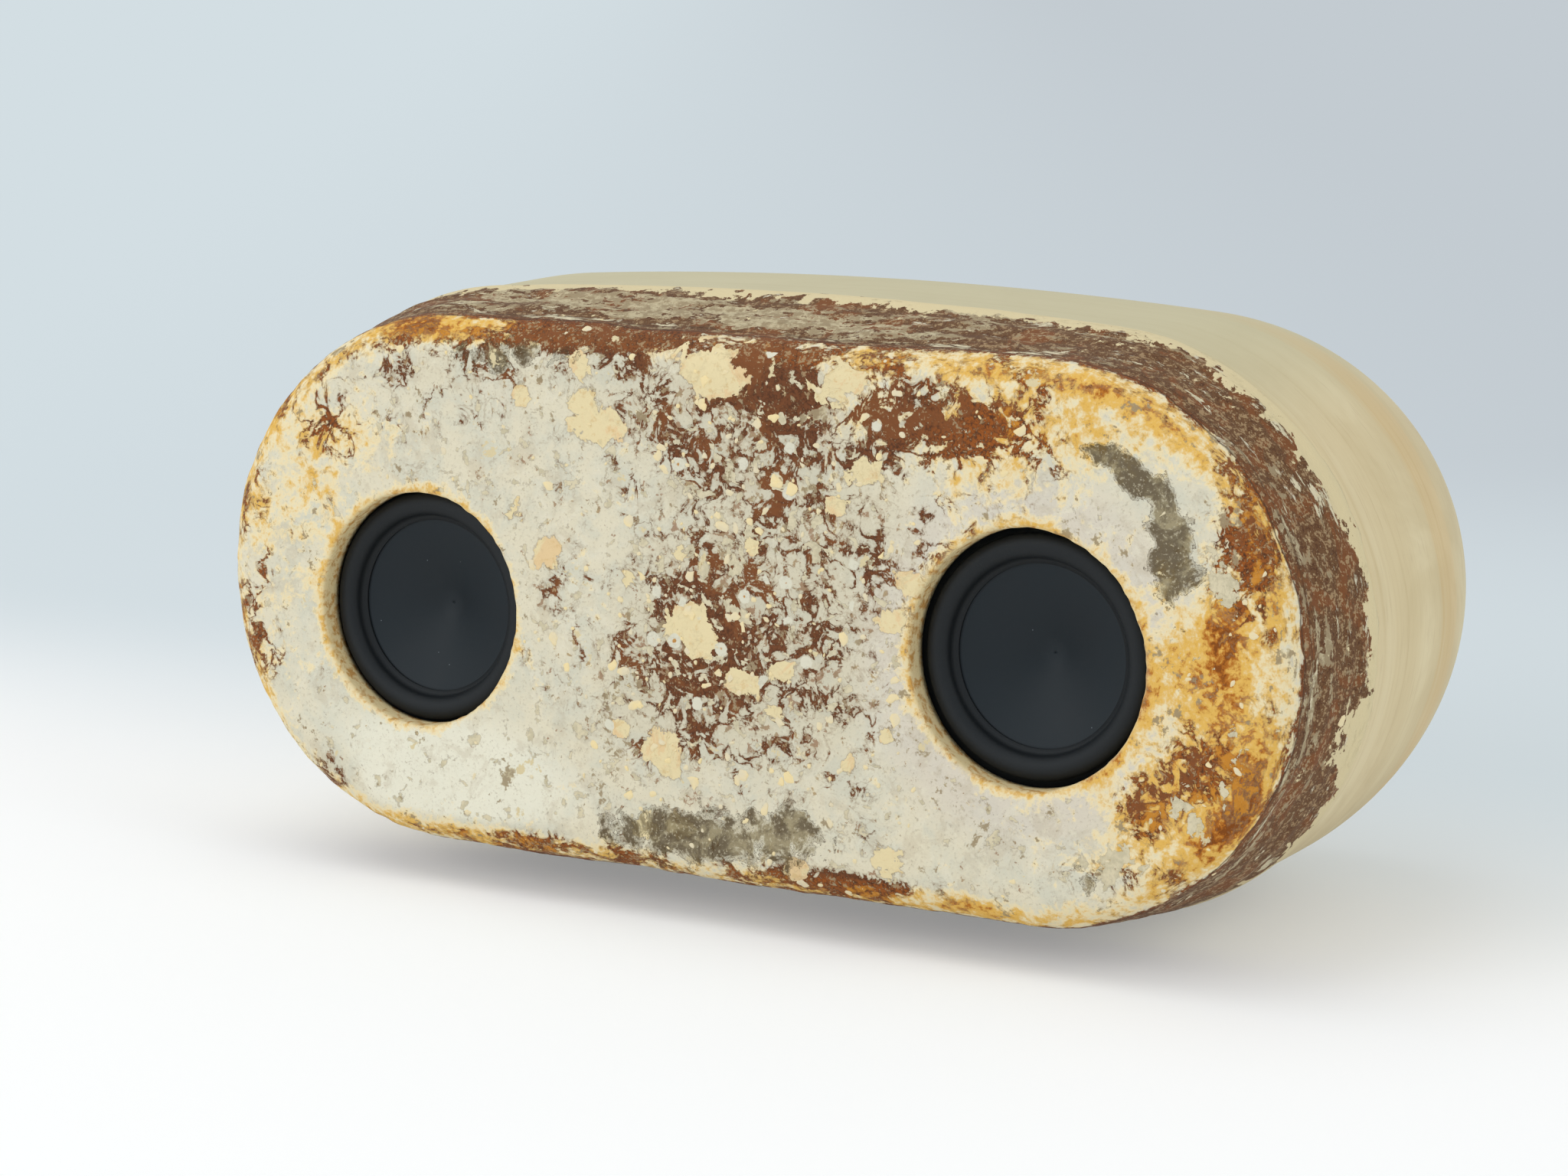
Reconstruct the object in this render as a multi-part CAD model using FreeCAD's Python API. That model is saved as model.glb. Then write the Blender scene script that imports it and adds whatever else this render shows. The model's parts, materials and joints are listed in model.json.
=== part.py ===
"""Two-driver tabletop speaker: a grown mycelium front shell on a hollowed wooden back.

Millimetres. +Z is up, the front faces -Y, and the origin is under the middle of the cabinet, on the
surface that the feet stand on. Places are given as x, depth behind the front face, and height z above
the cabinet's long axis. The wooden back stands level. The front shell and all that it carries are drawn
upright and then leaned back together, about a line just behind the front face.
"""
import FreeCAD, Part
import math
import os
from FreeCAD import Vector

# Cabinet: length and height of the wooden back, whose long sides are slightly crowned, and overall depth
CABINET_LENGTH = 330.0
CABINET_HEIGHT = 158.0
CABINET_DEPTH = 161.6
SIDE_CROWN = 3.2
FRONT_LEAN = 3.3
FOOT_STANDOUT = 4.0

# Mycelium front shell
FRONT_SHELL_DEPTH = 40.0
FRONT_EDGE_INSET = 3.8
SEAM_STEP = 0.8
FRONT_EDGE_ROUND = 10.0
FRONT_WALL = 7.5
FRONT_SIDE_WALL = 9.6
OPENING_CHAMFER = 0.7

# Wooden rear shell
BACK_ROUND_DEPTH = 80.0
BACK_FLAT_INSET = 45.0
REAR_WALL = 15.8
BACK_WALL = 10.0
BACK_CAVITY_INSET = 36.0
BACK_RECESS_DEPTH = 3.0

# Drivers: the pair was set by hand, so the two are not quite mirrored
LEFT_DRIVER_INSET = 70.2
RIGHT_DRIVER_INSET = 75.8
LEFT_DRIVER_DROP = 8.0
RIGHT_DRIVER_DROP = 3.4
LEFT_OPENING_CLEARANCE = 0.4
RIGHT_OPENING_CLEARANCE = 1.6

# Driver frame
FLANGE_DIAMETER = 80.0
FLANGE_THICKNESS = 2.5
FLANGE_WIDTH = 8.7
FRAME_WALL = 1.8
FRAME_TAPER = 5.3
FRAME_SEAT_DEPTH = 18.0
FRAME_SEAT_THICKNESS = 2.0
FRAME_WINDOWS = 4
FRAME_LEG_ANGLE = 34.0
SPIDER_SHELF_DEPTH = 11.0
SPIDER_SHELF_WIDTH = 3.5
SPIDER_SHELF_THICKNESS = 1.5
DRIVER_SCREW_INSET = 3.25
DRIVER_SCREWS = 4
DRIVER_SCREW_DIAMETER = 3.0
DRIVER_SCREW_HEAD_DIAMETER = 5.2
DRIVER_SCREW_HEAD = 0.9
DRIVER_SCREW_LENGTH = 8.0
GASKET_THICKNESS = 1.0
GASKET_WIDTH = 2.6

# Cone, surround and spider
CONE_DEPTH = 8.0
CONE_THICKNESS = 0.7
CONE_RIM_WIDTH = 1.6
CONE_RIM_DEPTH = 1.4
CONE_TIP_ROUND = 14.0
SURROUND_SPAN = 6.3
SURROUND_LIP_WIDTH = 1.8
SURROUND_THICKNESS = 0.7
SURROUND_ROLL_HEIGHT = 3.2
SPIDER_THICKNESS = 0.5
SPIDER_RIDGE = 1.2
SPIDER_RIDGES = 3

# Voice coil and magnet
FORMER_DIAMETER = 20.5
FORMER_WALL = 0.25
FORMER_LENGTH = 19.5
COIL_LENGTH = 7.0
COIL_THICKNESS = 0.5
COIL_GAP = 0.5
TOP_PLATE_DIAMETER = 48.0
TOP_PLATE_THICKNESS = 4.0
MAGNET_DIAMETER = 55.0
MAGNET_BORE = 30.0
MAGNET_THICKNESS = 10.0
BACK_PLATE_DIAMETER = 50.0
BACK_PLATE_THICKNESS = 4.0
POLE_VENT_DIAMETER = 6.0

# Driver terminals
LUG_WIDTH = 16.0
LUG_REACH = 8.0
TERMINAL_BOARD_WIDTH = 14.0
TERMINAL_BOARD_HEIGHT = 11.0
TERMINAL_BOARD_THICKNESS = 1.5
TERMINAL_BOARD_OVERLAP = 6.0
TAB_WIDTH = 2.8
TAB_LENGTH = 12.0
TAB_THICKNESS = 0.5
TAB_SPACING = 7.0
TAB_OVERHANG = 5.0

# Inner chassis
BAFFLE_THICKNESS = 9.0
SEAT_CLEARANCE = 0.3
FRAME_SPIGOT = 10.0
FRAME_WIDTH = 9.0
POST_DIAMETER = 7.0
POST_SPREAD = 44.0
CHASSIS_SCREW_DIAMETER = 3.0
CHASSIS_SCREW_LENGTH = 16.0
CHASSIS_SCREW_HEAD_DIAMETER = 5.6
CHASSIS_SCREW_HEAD = 1.8

# Amplifier and battery
BOARD_LENGTH = 62.0
BOARD_EDGE_MARGIN = 4.0
BOARD_THICKNESS = 1.6
BOARD_INSET = 93.0
BOARD_HOLE_INSET = 4.0
STANDOFF_DIAMETER = 5.0
STANDOFF_LENGTH = 6.0
BOARD_SCREW_DIAMETER = 2.5
BOARD_SCREW_HEAD_DIAMETER = 4.6
BOARD_SCREW_HEAD = 1.6
BOARD_SCREW_LENGTH = 13.0
HEATSINK_SIDE = 20.0
HEATSINK_HEIGHT = 11.0
HEATSINK_BASE = 3.0
HEATSINK_FINS = 5
HEATSINK_FIN = 1.6
HEATSINK_X = -4.0
CAPACITOR_DIAMETER = 8.0
CAPACITOR_HEIGHT = 12.0
CAPACITORS = 3
CAPACITOR_SPACING = 9.5
CAPACITOR_X = 11.0
RADIO_LENGTH = 13.0
RADIO_END_MARGIN = 11.0
RADIO_THICKNESS = 2.6
RADIO_X = -22.0
BLOCK_WIDTH = 8.0
BLOCK_END_MARGIN = 5.0
BLOCK_THICKNESS = 9.0
BLOCK_X = 20.0
CELL_DIAMETER = 18.3
CELL_LENGTH = 65.0
CELLS = 2
HOLDER_WALL = 1.5
HOLDER_LENGTH = 76.0
HOLDER_HEIGHT = 15.0

# Controls on the back
CONTROL_SPACING = 40.0
CONTROL_FLANGE_DIAMETER = 20.0
CONTROL_FLANGE_THICKNESS = 2.0
CONTROL_BODY_DIAMETER = 16.0
CONTROL_BODY_LENGTH = 20.0
CONTROL_NUT_ACROSS_FLATS = 19.0
CONTROL_NUT_THICKNESS = 3.0
NUT_SIDES = 6
THREAD_CLEARANCE = 0.1
BUTTON_DIAMETER = 11.0
BUTTON_CAP_THICKNESS = 4.0
BUTTON_TRAVEL = 1.5
BUTTON_PROUD = 0.7
BUTTON_STEM_DIAMETER = 4.0
BUTTON_STEM_LENGTH = 6.0
BUTTON_CLEARANCE = 0.1
SOCKET_SLOT_WIDTH = 9.2
SOCKET_SLOT_HEIGHT = 3.4
SOCKET_SLOT_DEPTH = 8.0
SOCKET_TONGUE_WIDTH = 6.6
SOCKET_TONGUE_THICKNESS = 0.8
SOCKET_TONGUE_LENGTH = 6.0

# Feet
FOOT_DIAMETER = 17.0
FOOT_BASE_DIAMETER = 15.0
FOOT_EDGE_ROUND = 1.0
FOOT_SEAT_INSET = 0.8
FOOT_INSET_X = 95.0
FRONT_FOOT_DEPTH = 52.0
REAR_FOOT_DEPTH = 92.0
FOOT_SCREW_DIAMETER = 3.0
FOOT_SCREW_HEAD_DIAMETER = 6.0
FOOT_SCREW_HEAD = 2.0
FOOT_SCREW_RECESS = 3.2
FOOT_SCREW_LENGTH = 11.0
SCREW_CLEARANCE = 0.05

# Wiring
LEAD_DIAMETER = 3.0
LEAD_ARC_SHARE = 0.45
LEAD_FIRST_RUN = 0.25
LEAD_CROSSING = 0.45
LEAD_LAST_RUN = 0.28
HOLDER_LEAD_RUN = 9.0
BLOCK_LEAD_RUN = 24.0
CONTROL_LEAD_RUN = 27.0
SWITCH_LEAD_RISE = 6.0
CHARGING_LEAD_DROP = 4.0
LEFT_SPEAKER_TERMINAL = 3
RIGHT_SPEAKER_TERMINAL = 2
BATTERY_TERMINAL = 1
SWITCH_TERMINAL = -1
CHARGING_TERMINAL = -3

# Worked out from the driving sizes
END_RADIUS = CABINET_HEIGHT / 2 - SIDE_CROWN
HALF_STRAIGHT = CABINET_LENGTH / 2 - END_RADIUS
CENTRE_Z = FOOT_STANDOUT + END_RADIUS + SIDE_CROWN
FRONT_EDGE_RADIUS = END_RADIUS - FRONT_EDGE_INSET
LEAN_REACH = (FRONT_EDGE_RADIUS - FRONT_EDGE_ROUND) * math.sin(math.radians(FRONT_LEAN))
FRONT_Y = LEAN_REACH - CABINET_DEPTH / 2
BACK_DEPTH = CABINET_DEPTH - LEAN_REACH
SEAM_RADIUS = END_RADIUS + SEAM_STEP
CAVITY_RADIUS = FRONT_EDGE_RADIUS - FRONT_SIDE_WALL
REAR_CAVITY_RADIUS = END_RADIUS - REAR_WALL
CAVITY_BACK = BACK_DEPTH - BACK_WALL
CAVITY_FLAT = REAR_CAVITY_RADIUS - BACK_CAVITY_INSET
BACK_ROUND_START = BACK_DEPTH - BACK_ROUND_DEPTH
RECESS_FLOOR = BACK_DEPTH - BACK_RECESS_DEPTH
LEFT_DRIVER = (LEFT_DRIVER_INSET - CABINET_LENGTH / 2, -LEFT_DRIVER_DROP)
RIGHT_DRIVER = (CABINET_LENGTH / 2 - RIGHT_DRIVER_INSET, -RIGHT_DRIVER_DROP)
FLANGE_FRONT = FRONT_WALL + GASKET_THICKNESS
FLANGE_RADIUS = FLANGE_DIAMETER / 2
THROAT_RADIUS = FLANGE_RADIUS - FLANGE_WIDTH
SEAT_RADIUS = THROAT_RADIUS - FRAME_TAPER
CONE_RADIUS = THROAT_RADIUS - SURROUND_SPAN
FORMER_RADIUS = FORMER_DIAMETER / 2
TOP_PLATE_FRONT = FRAME_SEAT_DEPTH + FRAME_SEAT_THICKNESS
MAGNET_FRONT = TOP_PLATE_FRONT + TOP_PLATE_THICKNESS
BACK_PLATE_FRONT = MAGNET_FRONT + MAGNET_THICKNESS
BAFFLE_BACK = FRONT_WALL + BAFFLE_THICKNESS
FRAME_FRONT = FRONT_SHELL_DEPTH - FRAME_SPIGOT
FRAME_BACK = FRONT_SHELL_DEPTH + FRAME_SPIGOT
CHASSIS_RADIUS = CAVITY_RADIUS - SEAT_CLEARANCE
POST_HEIGHT = CHASSIS_RADIUS - FRAME_WIDTH / 2
BOARD_X = BOARD_INSET - CABINET_LENGTH / 2
BOARD_HEIGHT = 2 * (CAVITY_FLAT - BOARD_EDGE_MARGIN)
BOARD_BACK = CAVITY_BACK - STANDOFF_LENGTH
BOARD_FRONT = BOARD_BACK - BOARD_THICKNESS
BLOCK_FRONT = BOARD_FRONT - BLOCK_THICKNESS
CONTROL_FLANGE_BACK = RECESS_FLOOR + CONTROL_FLANGE_THICKNESS
CONTROL_INNER_END = RECESS_FLOOR - CONTROL_BODY_LENGTH
FOOT_SEAT_Z = -(END_RADIUS - FOOT_SEAT_INSET)
FOOT_HEIGHT = CENTRE_Z + FOOT_SEAT_Z


def at(x, depth, z):
    """A point given as x, depth behind the front face and height above the cabinet's axis."""
    return Vector(x, FRONT_Y + depth, CENTRE_Z + z)


def line(start, end):
    """A straight edge in the radius-depth plane."""
    return Part.makeLine(Vector(*start, 0), Vector(*end, 0))


def arc(start, through, end):
    """A round edge in the radius-depth plane."""
    return Part.Arc(Vector(*start, 0), Vector(*through, 0), Vector(*end, 0)).toShape()


def quarter_ellipse(centre, radial, along):
    """A quarter of an ellipse in the radius-depth plane, from its deepest point out to its widest."""
    deepest = Vector(centre[0], centre[1] + along, 0)
    widest = Vector(centre[0] + radial, centre[1], 0)
    if along >= radial:
        ellipse = Part.Ellipse(deepest, widest, Vector(*centre, 0))
        return Part.ArcOfEllipse(ellipse, 0, math.pi / 2).toShape()
    ellipse = Part.Ellipse(widest, Vector(centre[0], centre[1] - along, 0), Vector(*centre, 0))
    return Part.ArcOfEllipse(ellipse, 1.5 * math.pi, 2 * math.pi).toShape()


def quarter_round(corner, radius):
    """The rounding of an outer front corner, from the front face to the side."""
    centre = (corner[0] - radius, corner[1] + radius)
    diagonal = radius * math.sqrt(0.5)
    middle = (centre[0] + diagonal, centre[1] - diagonal)
    return arc((centre[0], corner[1]), middle, (corner[0], centre[1]))


def polygon(points):
    """The closed outline through radius-depth points, as edges."""
    return [line(a, b) for a, b in zip(points, points[1:] + points[:1])]


def face_of(edges):
    return Part.Face(Part.Wire(Part.__sortEdges__(edges)))


def turned(edges, x=0.0, depth=0.0, z=0.0):
    """A body of revolution about an axis along the depth, from a closed radius-depth outline."""
    solid = face_of(edges).revolve(Vector(0, 0, 0), Vector(0, 1, 0), 360)
    solid.translate(at(x, depth, z))
    return solid


def ring(inner_radius, outer_radius, start, length, centre):
    """A plain ring or, with no inner radius, a disc, about a driver's or control's axis."""
    corners = [(inner_radius, 0), (outer_radius, 0), (outer_radius, length), (inner_radius, length)]
    return turned(polygon(corners), centre[0], start, centre[1])


def upright(radius, base, height, x, depth):
    """A vertical cylinder that stands on a height above the cabinet's axis."""
    return Part.makeCylinder(radius, height, at(x, depth, base), Vector(0, 0, 1))


def block(width, length, height, x, depth, z):
    """A box centred in x and z, starting at a depth."""
    return Part.makeBox(width, length, height, at(x - width / 2, depth, z - height / 2))


def lean(shape):
    """Tips a piece of the front back, about the line where the front's edge rounding ends."""
    leaned = shape.copy()
    leaned.rotate(at(0, FRONT_EDGE_ROUND, 0), Vector(1, 0, 0), -FRONT_LEAN)
    return leaned


def leaned_point(x, depth, z):
    """Where a point of the front lies once the front is leaned back."""
    return lean(Part.Vertex(at(x, depth, z))).Point


def pill_solid(edges):
    """Carries a radius-depth outline round a pill shape: straight along the middle, turned at both ends."""
    half = face_of(edges)
    half.rotate(Vector(0, 0, 0), Vector(0, 1, 0), -90)
    pieces = []
    for side in (1, -1):
        end = half.copy()
        end.translate(Vector(side * HALF_STRAIGHT, 0, 0))
        pieces.append(end.revolve(Vector(side * HALF_STRAIGHT, 0, 0), Vector(0, 1, 0), side * 180))
        flank = half.copy()
        if side < 0:
            flank.rotate(Vector(0, 0, 0), Vector(0, 1, 0), 180)
        flank.translate(Vector(-HALF_STRAIGHT, 0, 0))
        pieces.append(flank.extrude(Vector(2 * HALF_STRAIGHT, 0, 0)))
    solid = pieces[0].fuse(pieces[1:]).removeSplitter()
    solid.translate(at(0, 0, 0))
    return solid


def crown_arc():
    """Where the axis of the crowned long sides lies below the cabinet's own, and half the angle they span."""
    drop = (HALF_STRAIGHT ** 2 - SIDE_CROWN ** 2) / (2 * SIDE_CROWN)
    return drop, math.degrees(math.atan2(HALF_STRAIGHT, drop))


def crowned_solid(edges, front, back):
    """Carries a radius-depth outline round a pill whose long sides bulge: turned about four axes in all."""
    drop, half_angle = crown_arc()
    along = Vector(0, 1, 0)
    half = face_of(edges)
    half.rotate(Vector(0, 0, 0), along, -90)
    pieces = []
    for side in (1, -1):
        end = half.copy()
        end.rotate(Vector(0, 0, 0), along, side * half_angle)
        end.translate(Vector(side * HALF_STRAIGHT, 0, 0))
        sweep = side * (180 - 2 * half_angle)
        pieces.append(end.revolve(Vector(side * HALF_STRAIGHT, 0, 0), along, sweep))
    flank = half.copy()
    flank.rotate(Vector(0, 0, 0), along, -half_angle)
    flank.translate(Vector(-HALF_STRAIGHT, 0, 0))
    top = flank.revolve(Vector(0, 0, -drop), along, 2 * half_angle)
    bottom = top.copy()
    bottom.rotate(Vector(0, 0, 0), along, 180)
    tips = [Vector(-HALF_STRAIGHT, front, 0), Vector(HALF_STRAIGHT, front, 0)]
    lens = Part.Wire([
        Part.Arc(tips[0], Vector(0, front, SIDE_CROWN), tips[1]).toShape(),
        Part.Arc(tips[1], Vector(0, front, -SIDE_CROWN), tips[0]).toShape(),
    ])
    core = Part.Face(lens).extrude(Vector(0, back - front, 0))
    solid = pieces[0].fuse([pieces[1], top, bottom, core]).removeSplitter()
    solid.translate(at(0, 0, 0))
    return solid


def pill_wire(radius, depth, tangent_angle, rise):
    """A pill outline across the depth: its round ends meet its long sides at an angle off the vertical."""
    lean_out = radius * math.sin(math.radians(tangent_angle))
    height = radius * math.cos(math.radians(tangent_angle))
    corner = HALF_STRAIGHT + lean_out
    tip = HALF_STRAIGHT + radius
    crest = radius + rise
    upper_left, upper_right = at(-corner, depth, height), at(corner, depth, height)
    lower_left, lower_right = at(-corner, depth, -height), at(corner, depth, -height)
    if rise:
        top = Part.Arc(upper_left, at(0, depth, crest), upper_right).toShape()
        bottom = Part.Arc(lower_right, at(0, depth, -crest), lower_left).toShape()
    else:
        top = Part.makeLine(upper_left, upper_right)
        bottom = Part.makeLine(lower_right, lower_left)
    right = Part.Arc(upper_right, at(tip, depth, 0), lower_right).toShape()
    left = Part.Arc(lower_left, at(-tip, depth, 0), upper_left).toShape()
    return Part.Wire([top, right, bottom, left])


def pill_plate(radius, front, thickness):
    """A flat pill-shaped plate."""
    back = front + thickness
    return pill_solid(polygon([(0, front), (radius, front), (radius, back), (0, back)]))


def save(name, shape):
    shape.exportStep(os.path.join("parts", name + ".step"))


def mycelium_front_shell():
    """A leaning cap with a soft edge, flared back to the upright seam, hollow, with two cut openings."""
    cap = pill_solid([
        line((0, 0), (FRONT_EDGE_RADIUS - FRONT_EDGE_ROUND, 0)),
        quarter_round((FRONT_EDGE_RADIUS, 0), FRONT_EDGE_ROUND),
        line((FRONT_EDGE_RADIUS, FRONT_EDGE_ROUND), (0, FRONT_EDGE_ROUND)),
        line((0, FRONT_EDGE_ROUND), (0, 0)),
    ])
    cap_back = lean(pill_wire(FRONT_EDGE_RADIUS, FRONT_EDGE_ROUND, 0, 0))
    seam = pill_wire(SEAM_RADIUS, FRONT_SHELL_DEPTH, crown_arc()[1], SIDE_CROWN)
    flare = Part.makeLoft([cap_back, seam], True, True)
    hollow = pill_plate(CAVITY_RADIUS, FRONT_WALL, FRAME_BACK - FRONT_WALL)
    cuts = [hollow, driver_opening(LEFT_OPENING_CLEARANCE, LEFT_DRIVER),
            driver_opening(RIGHT_OPENING_CLEARANCE, RIGHT_DRIVER)]
    return lean(cap).fuse(flare).removeSplitter().cut([lean(cut) for cut in cuts])


def driver_opening(clearance, centre):
    """What is cut away in front of a driver: a round hole with a broken front edge."""
    radius = THROAT_RADIUS + clearance
    mouth = radius + OPENING_CHAMFER
    corners = [(0, 0), (mouth, 0), (radius, OPENING_CHAMFER), (radius, FRONT_WALL), (0, FRONT_WALL)]
    return turned(polygon(corners), centre[0], 0, centre[1])


def wooden_rear_shell():
    """A hollowed block: level and crowned from the seam, then rounded over to a flat back."""
    back_flat = END_RADIUS - BACK_FLAT_INSET
    outside = crowned_solid([
        line((0, FRONT_SHELL_DEPTH), (END_RADIUS, FRONT_SHELL_DEPTH)),
        line((END_RADIUS, FRONT_SHELL_DEPTH), (END_RADIUS, BACK_ROUND_START)),
        quarter_ellipse((back_flat, BACK_ROUND_START), BACK_FLAT_INSET, BACK_DEPTH - BACK_ROUND_START),
        line((back_flat, BACK_DEPTH), (0, BACK_DEPTH)),
        line((0, BACK_DEPTH), (0, FRONT_SHELL_DEPTH)),
    ], FRONT_SHELL_DEPTH, BACK_DEPTH)
    inside = pill_solid([
        line((0, FRONT_SHELL_DEPTH), (REAR_CAVITY_RADIUS, FRONT_SHELL_DEPTH)),
        line((REAR_CAVITY_RADIUS, FRONT_SHELL_DEPTH), (REAR_CAVITY_RADIUS, BACK_ROUND_START)),
        quarter_ellipse((CAVITY_FLAT, BACK_ROUND_START), BACK_CAVITY_INSET, CAVITY_BACK - BACK_ROUND_START),
        line((CAVITY_FLAT, CAVITY_BACK), (0, CAVITY_BACK)),
        line((0, CAVITY_BACK), (0, FRONT_SHELL_DEPTH)),
    ])
    pocket = lean(pill_plate(CAVITY_RADIUS, FRAME_FRONT, FRAME_BACK + SEAT_CLEARANCE - FRAME_FRONT))
    cuts = [inside, pocket]
    for x in (-CONTROL_SPACING / 2, CONTROL_SPACING / 2):
        recess = CONTROL_FLANGE_DIAMETER / 2 + SEAT_CLEARANCE
        hole = CONTROL_BODY_DIAMETER / 2 + THREAD_CLEARANCE
        cuts.append(ring(0, recess, RECESS_FLOOR, BACK_RECESS_DEPTH, (x, 0)))
        cuts.append(ring(0, hole, CAVITY_BACK, BACK_WALL, (x, 0)))
    for x, depth in foot_places():
        seat = FOOT_DIAMETER / 2 + SEAT_CLEARANCE
        cuts.append(upright(seat, FOOT_SEAT_Z - FOOT_HEIGHT, FOOT_HEIGHT, x, depth))
        pilot = FOOT_SCREW_DIAMETER / 2 + SCREW_CLEARANCE
        cuts.append(upright(pilot, FOOT_SEAT_Z, foot_screw_bite(), x, depth))
    for x, z in board_holes():
        pilot = BOARD_SCREW_DIAMETER / 2 + SCREW_CLEARANCE
        cuts.append(ring(0, pilot, CAVITY_BACK, board_screw_bite(), (x, z)))
    return outside.cut(cuts)


def joining_frame():
    """The plywood ring that both shells slide on to at the seam."""
    outer = pill_plate(CHASSIS_RADIUS, FRAME_FRONT, FRAME_BACK - FRAME_FRONT)
    inner = pill_plate(CHASSIS_RADIUS - FRAME_WIDTH, FRAME_FRONT, FRAME_BACK - FRAME_FRONT)
    pilots = [
        ring(0, CHASSIS_SCREW_DIAMETER / 2 + SCREW_CLEARANCE, FRAME_FRONT, FRAME_SPIGOT, place)
        for place in post_places()
    ]
    return outer.cut([inner] + pilots)


def driver_baffle():
    """The plywood board behind the front wall, rebated so that the driver flanges lie flush."""
    board = pill_plate(CHASSIS_RADIUS, FRONT_WALL, BAFFLE_THICKNESS)
    cuts = []
    flange_floor = FLANGE_FRONT + FLANGE_THICKNESS
    bowl = THROAT_RADIUS + FRAME_WALL + SEAT_CLEARANCE
    for centre in (LEFT_DRIVER, RIGHT_DRIVER):
        cuts.append(ring(0, bowl, FRONT_WALL, BAFFLE_THICKNESS, centre))
        cuts.append(ring(0, FLANGE_RADIUS + SEAT_CLEARANCE, FRONT_WALL, flange_floor - FRONT_WALL, centre))
        for place in driver_screw_places(centre):
            pilot = DRIVER_SCREW_DIAMETER / 2 + SCREW_CLEARANCE
            cuts.append(ring(0, pilot, flange_floor, BAFFLE_BACK - flange_floor, place))
    for place in post_places():
        shank = CHASSIS_SCREW_DIAMETER / 2 + SCREW_CLEARANCE
        cuts.append(ring(0, shank, FRONT_WALL, BAFFLE_THICKNESS, place))
        head = CHASSIS_SCREW_HEAD_DIAMETER / 2 + SCREW_CLEARANCE
        cuts.append(ring(0, head, FRONT_WALL, CHASSIS_SCREW_HEAD, place))
    return board.cut(cuts)


def post_places():
    """Where the four posts stand between baffle and joining frame."""
    return [(x, z) for z in (POST_HEIGHT, -POST_HEIGHT) for x in (-POST_SPREAD, POST_SPREAD)]


def baffle_post(place):
    hole = CHASSIS_SCREW_DIAMETER / 2 + SCREW_CLEARANCE
    return ring(hole, POST_DIAMETER / 2, BAFFLE_BACK, FRAME_FRONT - BAFFLE_BACK, place)


def flat_head_screw(place, start, head_diameter, head, diameter, length):
    """A cylinder-headed screw that points into the cabinet."""
    corners = [(0, 0), (head_diameter / 2, 0), (head_diameter / 2, head), (diameter / 2, head),
               (diameter / 2, length), (0, length)]
    return turned(polygon(corners), place[0], start, place[1])


def chassis_screws():
    """One long screw in each post, sunk in the baffle and biting in the joining frame."""
    length = FRAME_FRONT - FRONT_WALL + CHASSIS_SCREW_LENGTH / 2
    return Part.makeCompound([
        flat_head_screw(place, FRONT_WALL, CHASSIS_SCREW_HEAD_DIAMETER, CHASSIS_SCREW_HEAD,
                        CHASSIS_SCREW_DIAMETER, length)
        for place in post_places()
    ])


def driver_screw_places(centre):
    """The screws sit between the frame's lug and its windows."""
    places = []
    for index in range(DRIVER_SCREWS):
        angle = 2 * math.pi * (index + 0.5) / DRIVER_SCREWS
        reach = FLANGE_RADIUS - DRIVER_SCREW_INSET
        places.append((centre[0] + reach * math.cos(angle), centre[1] + reach * math.sin(angle)))
    return places


def driver_screws():
    return Part.makeCompound([
        flat_head_screw(place, FLANGE_FRONT - DRIVER_SCREW_HEAD, DRIVER_SCREW_HEAD_DIAMETER,
                        DRIVER_SCREW_HEAD, DRIVER_SCREW_DIAMETER, DRIVER_SCREW_LENGTH)
        for centre in (LEFT_DRIVER, RIGHT_DRIVER) for place in driver_screw_places(centre)
    ])


def frame_slope():
    """How fast the frame's bowl narrows behind the flange."""
    return FRAME_TAPER / (FRAME_SEAT_DEPTH - FLANGE_THICKNESS)


def spider_shelf_radius():
    """Radius of the bowl where the spider's shelf starts."""
    return THROAT_RADIUS - frame_slope() * (SPIDER_SHELF_DEPTH - FLANGE_THICKNESS)


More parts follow.
